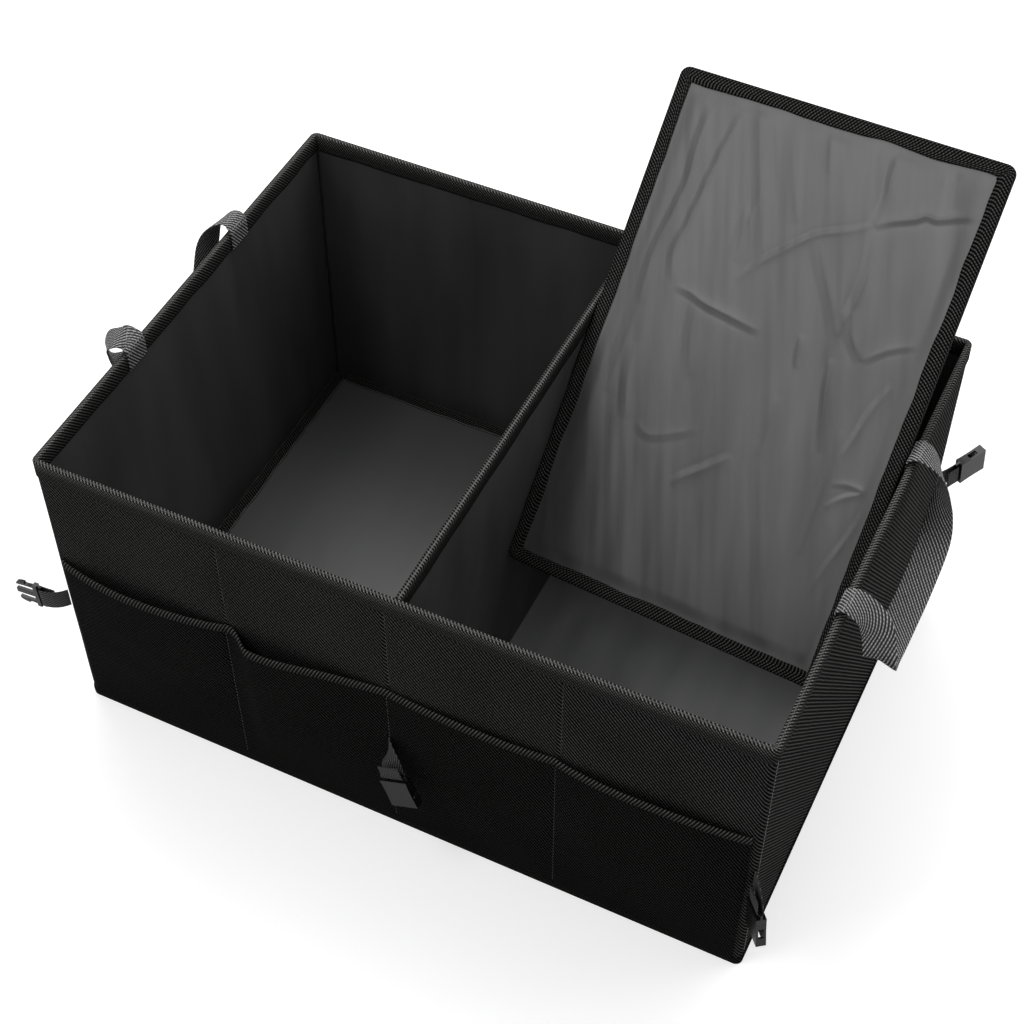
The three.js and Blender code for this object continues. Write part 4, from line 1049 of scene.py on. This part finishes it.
def plate_cover(name, axes, middle, creases, seed, height, steps, material, node):
    """A plate's cover: a closed sleeve, drawn as one section round the plate for each step of its length.

    Its flat size is that of one of the two panels that it is sewn from.
    """
    half_x = plate_width / 2 - TAPE - SEAT
    half_y = plate_length / 2 - TAPE - SEAT
    radius = PLATE_CORNER - TAPE - SEAT
    near_end = half_y - radius + radius * np.sin(np.linspace(0, math.pi / 2, 9))[1:-1]
    straight = np.linspace(-(half_y - radius), half_y - radius, steps[0])
    along = np.concatenate([-near_end[::-1], straight, near_end])
    reach = plate_outline(along, half_x, half_y, radius)[:, None]
    u = np.linspace(-1, 1, steps[1]) * reach
    v = np.broadcast_to(along[:, None], u.shape)
    free = fade(half_x - PLATE_TAPE - np.abs(u), 12 * MM) * fade(half_y - PLATE_TAPE - np.abs(v), 12 * MM)
    leaned_u = u * math.cos(STREAK_LEAN) + v * math.sin(STREAK_LEAN)
    leaned_v = v * math.cos(STREAK_LEAN) - u * math.sin(STREAK_LEAN)
    soft = waves(leaned_u, leaned_v, seed, 150 * MM, 40 * MM, upright=2.0)
    fine = waves(leaned_u, leaned_v, seed + 1, 60 * MM, 20 * MM, upright=2.2)
    relief = height * np.clip(0.8 + 0.4 * soft + 0.12 * fine, 0, None)
    # Painted shade: each crease darkens the colour along its fold, up to its depth
    shade = np.zeros_like(u)
    for pixels, size, width, depth in creases:
        stops = plate_spots(pixels, plate_width, plate_length)
        rise, fold = crease(u, v, stops, size * MM, width * MM)
        relief = relief + rise
        shade = np.maximum(shade, depth * fold)
    top = np.stack([u, v, plate_cover_half + np.clip(relief, 0, None) * free], 2)
    under_u = np.linspace(1, -1, UNDER_STEPS) * reach
    under_v = np.broadcast_to(along[:, None], under_u.shape)
    under = np.stack([under_u, under_v, np.full(under_u.shape, -plate_cover_half)], 2)
    points = np.concatenate([top, under], 1) @ axes + middle
    flat_u = np.concatenate([u, under_u, u[:, :1]], 1)
    uv = np.stack([flat_u, np.broadcast_to(along[:, None], flat_u.shape)], 2)
    made = piece(name, points, uv, material, wrap=(False, True), caps=True)
    # The painted fold shade goes to the mesh's points, none on the underside
    folds = made.data.attributes.new(PAINTED_FOLD_SHADE, "FLOAT", "POINT")
    shades = np.concatenate([shade * free, 0 * under_u], 1)
    folds.data.foreach_set("value", shades.astype(np.float32).ravel())
    return settle(made, "plate_cover", node)


def plate_binding(name, axes, middle, material, node, seed):
    """The tape round a plate's edge, with an inner hem that wanders a little."""
    section, spread = closed_section(*folded_strip(plate_thickness, PLATE_TAPE, TAPE, PLATE_TAPE_FOLD))
    section = np.stack([section[:, 1], plate_half - section[:, 0]], 1)

    def wobble(run, profile):
        hem = np.clip(profile[:, 0] / PLATE_TAPE, 0, 1)
        push = -hem * 0.5 * MM * waves(run, np.zeros_like(run), seed, 80 * MM, 20 * MM)
        rise = 1 + waves(run, np.ones_like(run), seed + 1, 50 * MM, 12 * MM)
        return push, np.sign(profile[:, 1]) * hem * 0.15 * MM * rise

    half_x, half_y = plate_width / 2, plate_length / 2
    made = ring_tape(name, section, spread, half_x, half_y, PLATE_CORNER, material, wobble)
    mesh = made.data
    spots = np.empty(3 * len(mesh.vertices))
    mesh.vertices.foreach_get("co", spots)
    mesh.vertices.foreach_set("co", (spots.reshape(-1, 3) @ axes + middle).ravel())
    mesh.update()
    return settle(made, "binding_tape", node)


def ribbon(name, centres, lies, width, thickness, material):
    """Webbing along a path: a flat section with round edges, its width along each lie."""
    forward = unit(np.gradient(centres, axis=0))
    side = unit(lies - forward * np.einsum("ij,ij->i", lies, forward)[:, None])
    normal = np.cross(forward, side)
    angles = np.linspace(0, math.tau, 28, endpoint=False)
    flat = np.sign(np.cos(angles)) * np.abs(np.cos(angles)) ** 0.35
    round_edge = np.sign(np.sin(angles)) * np.abs(np.sin(angles)) ** 0.8
    points = (
        centres[:, None, :]
        + side[:, None, :] * flat[None, :, None] * width / 2
        + normal[:, None, :] * round_edge[None, :, None] * thickness / 2
    )
    run = run_of(centres)
    spread = np.append(flat, flat[0]) * width / 2
    u, v = grid(run, spread)
    return piece(name, points, np.stack([u, v], 2), material, wrap=(False, True), caps=True), side, normal


def handle_stops(sign, reach, drop, turns):
    """The ribbon's points and lies, from its far root inside the rim round to its near one."""
    inside = sign * (half_width - wall_depth - SEAT - HANDLE_THICKNESS / 2)
    bow = inside + sign * HANDLE_ROOT_BOW
    shoulder = rim_top + HANDLE_ARCH * HANDLE_SHOULDER
    root = [(inside, rim_top - RIM_TAPE), (inside, rim_top - HANDLE_ROOT_DEPTH), (bow, shoulder)]
    end = HANDLE_SPACING / 2
    first = [((x, end, z), (0, 1, 0)) for x, z in root]
    last = [((x, -end, z), (0, -1, 0)) for x, z in reversed(root)]
    hanging = []
    for out, along, up, down, lie in turns:
        point = (sign * (half_width + out * reach), along * end, rim_top + up * HANDLE_ARCH - down * drop)
        hanging.append((point, (sign * lie[0], lie[1], lie[2])))
    return [np.array(column, float) for column in zip(*(first + hanging + last))]


def make_handle(name, sign, reach, drop, turns):
    """A handle: a ribbon that rises inside the rim, arches over it and hangs outside as a loop."""
    points, lies = handle_stops(sign, reach, drop, turns)
    samples = 260
    centres = through(points, samples)
    made, side, normal = ribbon(
        f"{name}_webbing", centres, through(lies, samples), HANDLE_WIDTH, HANDLE_THICKNESS, webbing
    )
    settle(made, "webbing", name)
    run = run_of(centres)
    rows = [int(np.argmin(np.abs(end - far))) for end in (run, run[-1] - run) for far in HANDLE_SEAMS]
    spots = np.linspace(-0.42, 0.42, 9) * HANDLE_WIDTH
    middles, directions, outwards = [], [], []
    for row in rows:
        inside = np.array([sign * half_width, centres[row][1], rim_top - 30 * MM])
        out = normal[row] * np.sign(normal[row] @ (centres[row] - inside))
        middles.append(centres[row] + side[row] * spots[:, None] + out * HANDLE_THICKNESS * 0.5)
        directions.append(np.broadcast_to(side[row], (len(spots), 3)))
        outwards.append(np.broadcast_to(out, (len(spots), 3)))
    places = (np.concatenate(rows) for rows in (middles, directions, outwards))
    return stitches(f"{name}_stitches", *places, 1.9 * MM, 0.35 * MM, pale_thread)


def strap_path(root, heading, root_side, end_heading, end_side, length, bend=STRAP_ELBOW):
    """Centres and lies of a strap stub: a bend from its seam to its end heading, then a loop round a bar."""
    start = np.array(root)
    out, away = unit(np.array(heading, float)), unit(np.array(end_heading, float))
    side = np.array(end_side, float)
    side = unit(side - away * (side @ away))
    normal = np.cross(away, side)
    radius = BAR_SIZE / 2 + LOOP_CLEARANCE + STRAP_THICKNESS / 2
    elbow = start + out * length * bend
    reach = elbow + away * length * (1 - bend)
    t = np.linspace(0, 1, 24)[:, None]
    lead = (1 - t) ** 2 * start + 2 * t * (1 - t) * elbow + t**2 * reach
    first = np.array(root_side, float)
    lead_side = first + (side - first) * np.minimum(1, t * STRAP_TURN_RATE)
    bar = reach + normal * radius
    angle = (np.linspace(0, math.pi, 17)[1:] - math.pi / 2)[:, None]
    loop = bar + away * radius * np.cos(angle) + normal * radius * np.sin(angle)
    back = np.linspace(0, 1, 8)[1:, None]
    tail = bar + normal * radius - away * STRAP_TAIL * back
    centres = np.concatenate([lead, loop, tail])
    lies = np.concatenate([lead_side, np.broadcast_to(side, (len(loop) + len(tail), 3))])
    return centres, lies


def make_straps():
    """The six strap stubs, each from its seam to its buckle's bar."""
    diagonal = (CORNER_RADIUS - outer_face) * math.sqrt(0.5) - CORNER_RADIUS + STRAP_SEAT
    face_x, face_y = half_width + diagonal, half_depth + diagonal
    upright = (0, 0, 1)
    off_wall = STRAP_SEAT + STRAP_THICKNESS / 2
    pocket_face = -(half_depth - outer_face + pocket_base + CLOTH + off_wall)
    back_face = half_depth - outer_face + off_wall
    straps = {
        "front_left": (
            (-face_x, -face_y, STRAP_HEIGHT), (-0.6, -0.8, 0), upright,
            (-1, -0.05, -0.05), upright, MALE_STRAP,
        ),
        "back_left": (
            (-face_x, face_y, STRAP_HEIGHT), (-0.6, 0.8, 0), upright,
            (-1, 0.05, -0.05), upright, MALE_STRAP,
        ),
        "back_right": (
            (face_x, face_y, STRAP_HEIGHT), (0.6, 0.8, 0), upright,
            (0.5, 0.85, 0.12), upright, SIDE_STRAP,
        ),
        "front_right": (
            (face_x, -face_y, STRAP_HEIGHT), (0.6, -0.8, 0), upright,
            (0.16, -0.22, -0.96), (0.6, -0.8, 0), CORNER_STRAP, CORNER_STRAP_BEND,
        ),
        "front_centre": (
            (MIDDLE_SEAM, pocket_face, FRONT_STRAP_HEIGHT), (0.4, -0.9, 0), upright,
            (0.42, -0.1, -0.9), (0.9, 0, 0.42), CENTRE_STRAP,
        ),
        "back_centre": (
            (0, back_face, STRAP_HEIGHT), (0, 0.7, -0.7), (1, 0, 0),
            (0, 0.2, -0.98), (1, 0, 0), CENTRE_STRAP,
        ),
    }
    for name, facts in straps.items():
        centres, lies = strap_path(*facts)
        made, _, _ = ribbon(f"{name}_webbing", centres, lies, STRAP_WIDTH, STRAP_THICKNESS, strap_webbing)
        settle(made, "webbing", f"{name}_strap")


def make_buckle(node):
    """A buckle half: the frame's own shape, with its flat faces made whole and its edges rounded."""
    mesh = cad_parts[node].data.copy()
    shape = bmesh.new()
    shape.from_mesh(mesh)
    bmesh.ops.remove_doubles(shape, verts=shape.verts, dist=0.01 * MM)
    bmesh.ops.dissolve_limit(shape, angle_limit=math.radians(2), verts=shape.verts, edges=shape.edges)
    shape.to_mesh(mesh)
    shape.free()
    mesh.polygons.foreach_set("use_smooth", np.zeros(len(mesh.polygons), dtype=bool))
    mesh.materials.clear()
    made = link(f"{node}_moulding", mesh, buckle_plastic)
    edge = made.modifiers.new("rounded edges", "BEVEL")
    edge.width = 0.3 * MM
    edge.segments = 2
    edge.limit_method = "ANGLE"
    edge.angle_limit = math.radians(35)
    return settle(made, "buckle_plastic", node)


STITCH_LENGTH = 2.8 * MM
STITCH_PITCH = 4.2 * MM
stitch_heights = np.arange(FOOT_TAPE + 6 * MM, rim_top - RIM_TAPE - 4 * MM, STITCH_PITCH)


def seam_stitches():
    """Stitches up the fold seams of the front wall, through the pocket cloth and above it."""
    heights = stitch_heights
    wall = -(half_depth - outer_face)
    cloth_top = POCKET_HEIGHT - TAPE - SEAT
    rise = np.clip((heights - pocket_foot) / (cloth_top - pocket_foot), 0, 1)
    on_pocket = heights < POCKET_HEIGHT - POCKET_TAPE - 2 * MM
    clear = on_pocket | (heights > POCKET_HEIGHT + 3 * MM)
    heights, rise, on_pocket = heights[clear], rise[clear], on_pocket[clear]
    face = np.where(on_pocket, wall - pocket_stand_off(0.0, rise) - CLOTH, wall + FOLD_GROOVE * 0.8)
    columns = [np.where(on_pocket, seam_x(k), (k - 2) * FOLD_PITCH) for k in (1, 2, 3)]
    middles = np.concatenate([np.stack([x, face, heights], 1) for x in columns])
    up = np.broadcast_to((0.0, 0.0, 1.0), middles.shape)
    out = np.broadcast_to((0.0, -1.0, 0.0), middles.shape)
    return stitches("front_seam_stitches", middles, up, out, STITCH_LENGTH, 0.3 * MM, dark_thread)


def corner_stitches():
    """Stitches down the four upright corner seams, where the wrapped panels meet the sides."""
    x = half_width - outer_face
    y = half_depth - CORNER_RADIUS - 1.5 * MM
    one = np.ones(len(stitch_heights))
    spots, outs = [], []
    for sign_x in (-1, 1):
        for sign_y in (-1, 1):
            spots.append(np.stack([sign_x * x * one, sign_y * y * one, stitch_heights], 1))
            outs.append(np.broadcast_to((float(sign_x), 0.0, 0.0), (len(one), 3)))
    middles, out = np.concatenate(spots), np.concatenate(outs)
    up = np.broadcast_to((0.0, 0.0, 1.0), middles.shape)
    return stitches("corner_seam_stitches", middles, up, out, STITCH_LENGTH, 0.32 * MM, pale_thread)


def make_box():
    """Every piece of the box itself: walls, tapes, pockets, linings, floor, divider and seams."""
    folds = (-FOLD_PITCH, 0.0, FOLD_PITCH)
    long_panel("outer_front_cloth", 1, folds, 11)
    long_panel("outer_back_cloth", -1, folds, 12)
    side_panel("outer_right_cloth", 1, 13)
    side_panel("outer_left_cloth", -1, 14)
    make_rim_tape()
    make_foot_tape()
    make_pocket_cloth()
    make_pocket_tape()
    wall_lining_piece("lining_left", (1, 0, 0), 1.2 * MM, 61)
    wall_lining_piece("lining_right", (-1, 0, 0), 1.2 * MM, 63)
    wall_lining_piece("lining_back", (0, -1, 0), 1.5 * MM, 65)
    wall_lining_piece("lining_front", (0, 1, 0), 1.2 * MM, 67)
    make_floor_lining()
    make_divider()
    seam_stitches()
    corner_stitches()


def make_plates():
    """Both base plates: each cover's creases, seed, unevenness and grid steps, and its finishes."""
    left = ([], 71, 0.15 * MM, (120, 80), left_plate_cloth)
    right = (LIFTED_CREASES, 81, 0.7 * MM, (310, 230), right_plate_cloth)
    for side, place, facts, tape in (
        ("left", left_frame(), left, left_plate_tape),
        ("right", lifted_frame(), right, right_plate_tape),
    ):
        node = f"base_plate_{side}"
        plate_cover(f"{side}_plate_cloth", *place, *facts, f"{node}_cover")
        plate_binding(f"{side}_plate_tape", *place, tape, f"{node}_binding", facts[1] + 9)


def finish_frame_nodes():
    """The frame's own nodes that stay: the boards and the cloth underneath."""
    for name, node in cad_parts.items():
        if "board" in name or name == "outer_bottom":
            node.data.materials.clear()
            node.data.materials.append(underside if name == "outer_bottom" else stiffener)


# Camera: where the photograph was taken from, with its focal length as a share of the frame's width
CAMERA_PLACE = (0.4695, -0.9740, 1.4352)
CAMERA_TURN = 0.4508
CAMERA_DIP = 0.8648
FOCAL_SHARE = 1.9469
SENSOR_MM = 36.0


def make_camera():
    lens = bpy.data.cameras.new("camera")
    lens.sensor_width = SENSOR_MM
    lens.lens = SENSOR_MM * FOCAL_SHARE
    lens.clip_start = 0.01
    lens.clip_end = 50
    camera = link("camera", lens)
    camera.location = CAMERA_PLACE
    camera.rotation_euler = (math.pi / 2 - CAMERA_DIP, 0, CAMERA_TURN)
    bpy.context.scene.camera = camera


FLOOR_REACH = 6.0
FLOOR_GAP = 0.2 * MM
FLOOR_GLOW = 0.45


def make_floor():
    """A plain white floor that keeps the object's shadow, and is lifted to white where nothing shades it."""
    mesh = bpy.data.meshes.new("studio_floor")
    turns = ((-1, -1), (1, -1), (1, 1), (-1, 1))
    corners = [(x * FLOOR_REACH, y * FLOOR_REACH, -FLOOR_GAP) for x, y in turns]
    mesh.from_pydata(corners, [], [(0, 1, 2, 3)])
    finish = Finish("studio floor", Roughness=1.0, Specular_IOR_Level=0.0, Base_Color=grey(0.8))
    nodes, links = finish.tree.nodes, finish.tree.links
    seen = finish.node("ShaderNodeLightPath").outputs["Is Camera Ray"]
    glow = finish.node("ShaderNodeEmission", grey(1.0), finish.math("MULTIPLY", seen, FLOOR_GLOW))
    both = nodes.new("ShaderNodeAddShader")
    links.new(finish.shader.outputs[0], both.inputs[0])
    links.new(glow.outputs[0], both.inputs[1])
    links.new(both.outputs[0], nodes["Material Output"].inputs["Surface"])
    link("studio_floor", mesh, finish.material)


# What the sky gives to a surface, where 1 is the white that it shows
SKY_LIGHT = 0.55


def make_light():
    """Soft studio light: an even sky that is white to the eye and in gloss, and three broad lamps."""
    world = bpy.data.worlds.new("studio")
    world.use_nodes = True
    bpy.context.scene.world = world
    nodes, links = world.node_tree.nodes, world.node_tree.links
    rays = nodes.new("ShaderNodeLightPath").outputs

    def worked_out(operation, *inputs):
        """A maths node's result, from sockets and plain numbers."""
        made = nodes.new("ShaderNodeMath")
        made.operation = operation
        for socket, value in zip(made.inputs, inputs):
            if isinstance(value, float):
                socket.default_value = value
            else:
                links.new(value, socket)
        return made.outputs[0]

    seen = worked_out("MAXIMUM", rays["Is Camera Ray"], rays["Is Transmission Ray"])
    shown = worked_out("MAXIMUM", seen, rays["Is Glossy Ray"])
    strength = worked_out("MULTIPLY_ADD", shown, 1 - SKY_LIGHT, SKY_LIGHT)
    sky = nodes["Background"]
    links.new(strength, sky.inputs["Strength"])
    sky.inputs["Color"].default_value = grey(1.0)
    for name, place, size, energy in (
        ("right softbox", (0.9, 1.2, 2.2), 1.8, 22),
        ("left softbox", (-0.9, 1.2, 2.1), 1.8, 24),
        ("front softbox", (-0.75, -0.9, 1.95), 0.8, 11),
    ):
        lamp = bpy.data.lights.new(name, "AREA")
        lamp.shape = "SQUARE"
        lamp.size = size
        lamp.energy = energy
        stand = link(name, lamp)
        stand.location = place
        stand.rotation_euler = (-mathutils.Vector(place)).to_track_quat("-Z", "Y").to_euler()


make_camera()
make_box()
make_plates()
make_handle("handle_right", 1, *RIGHT_HANDLE, RIGHT_TURNS)
make_handle("handle_left", -1, *LEFT_HANDLE, LEFT_TURNS)
make_straps()
for buckle in [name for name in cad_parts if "buckle" in name]:
    make_buckle(buckle)
finish_frame_nodes()
make_floor()
make_light()
bpy.context.scene.view_settings.view_transform = "Standard"
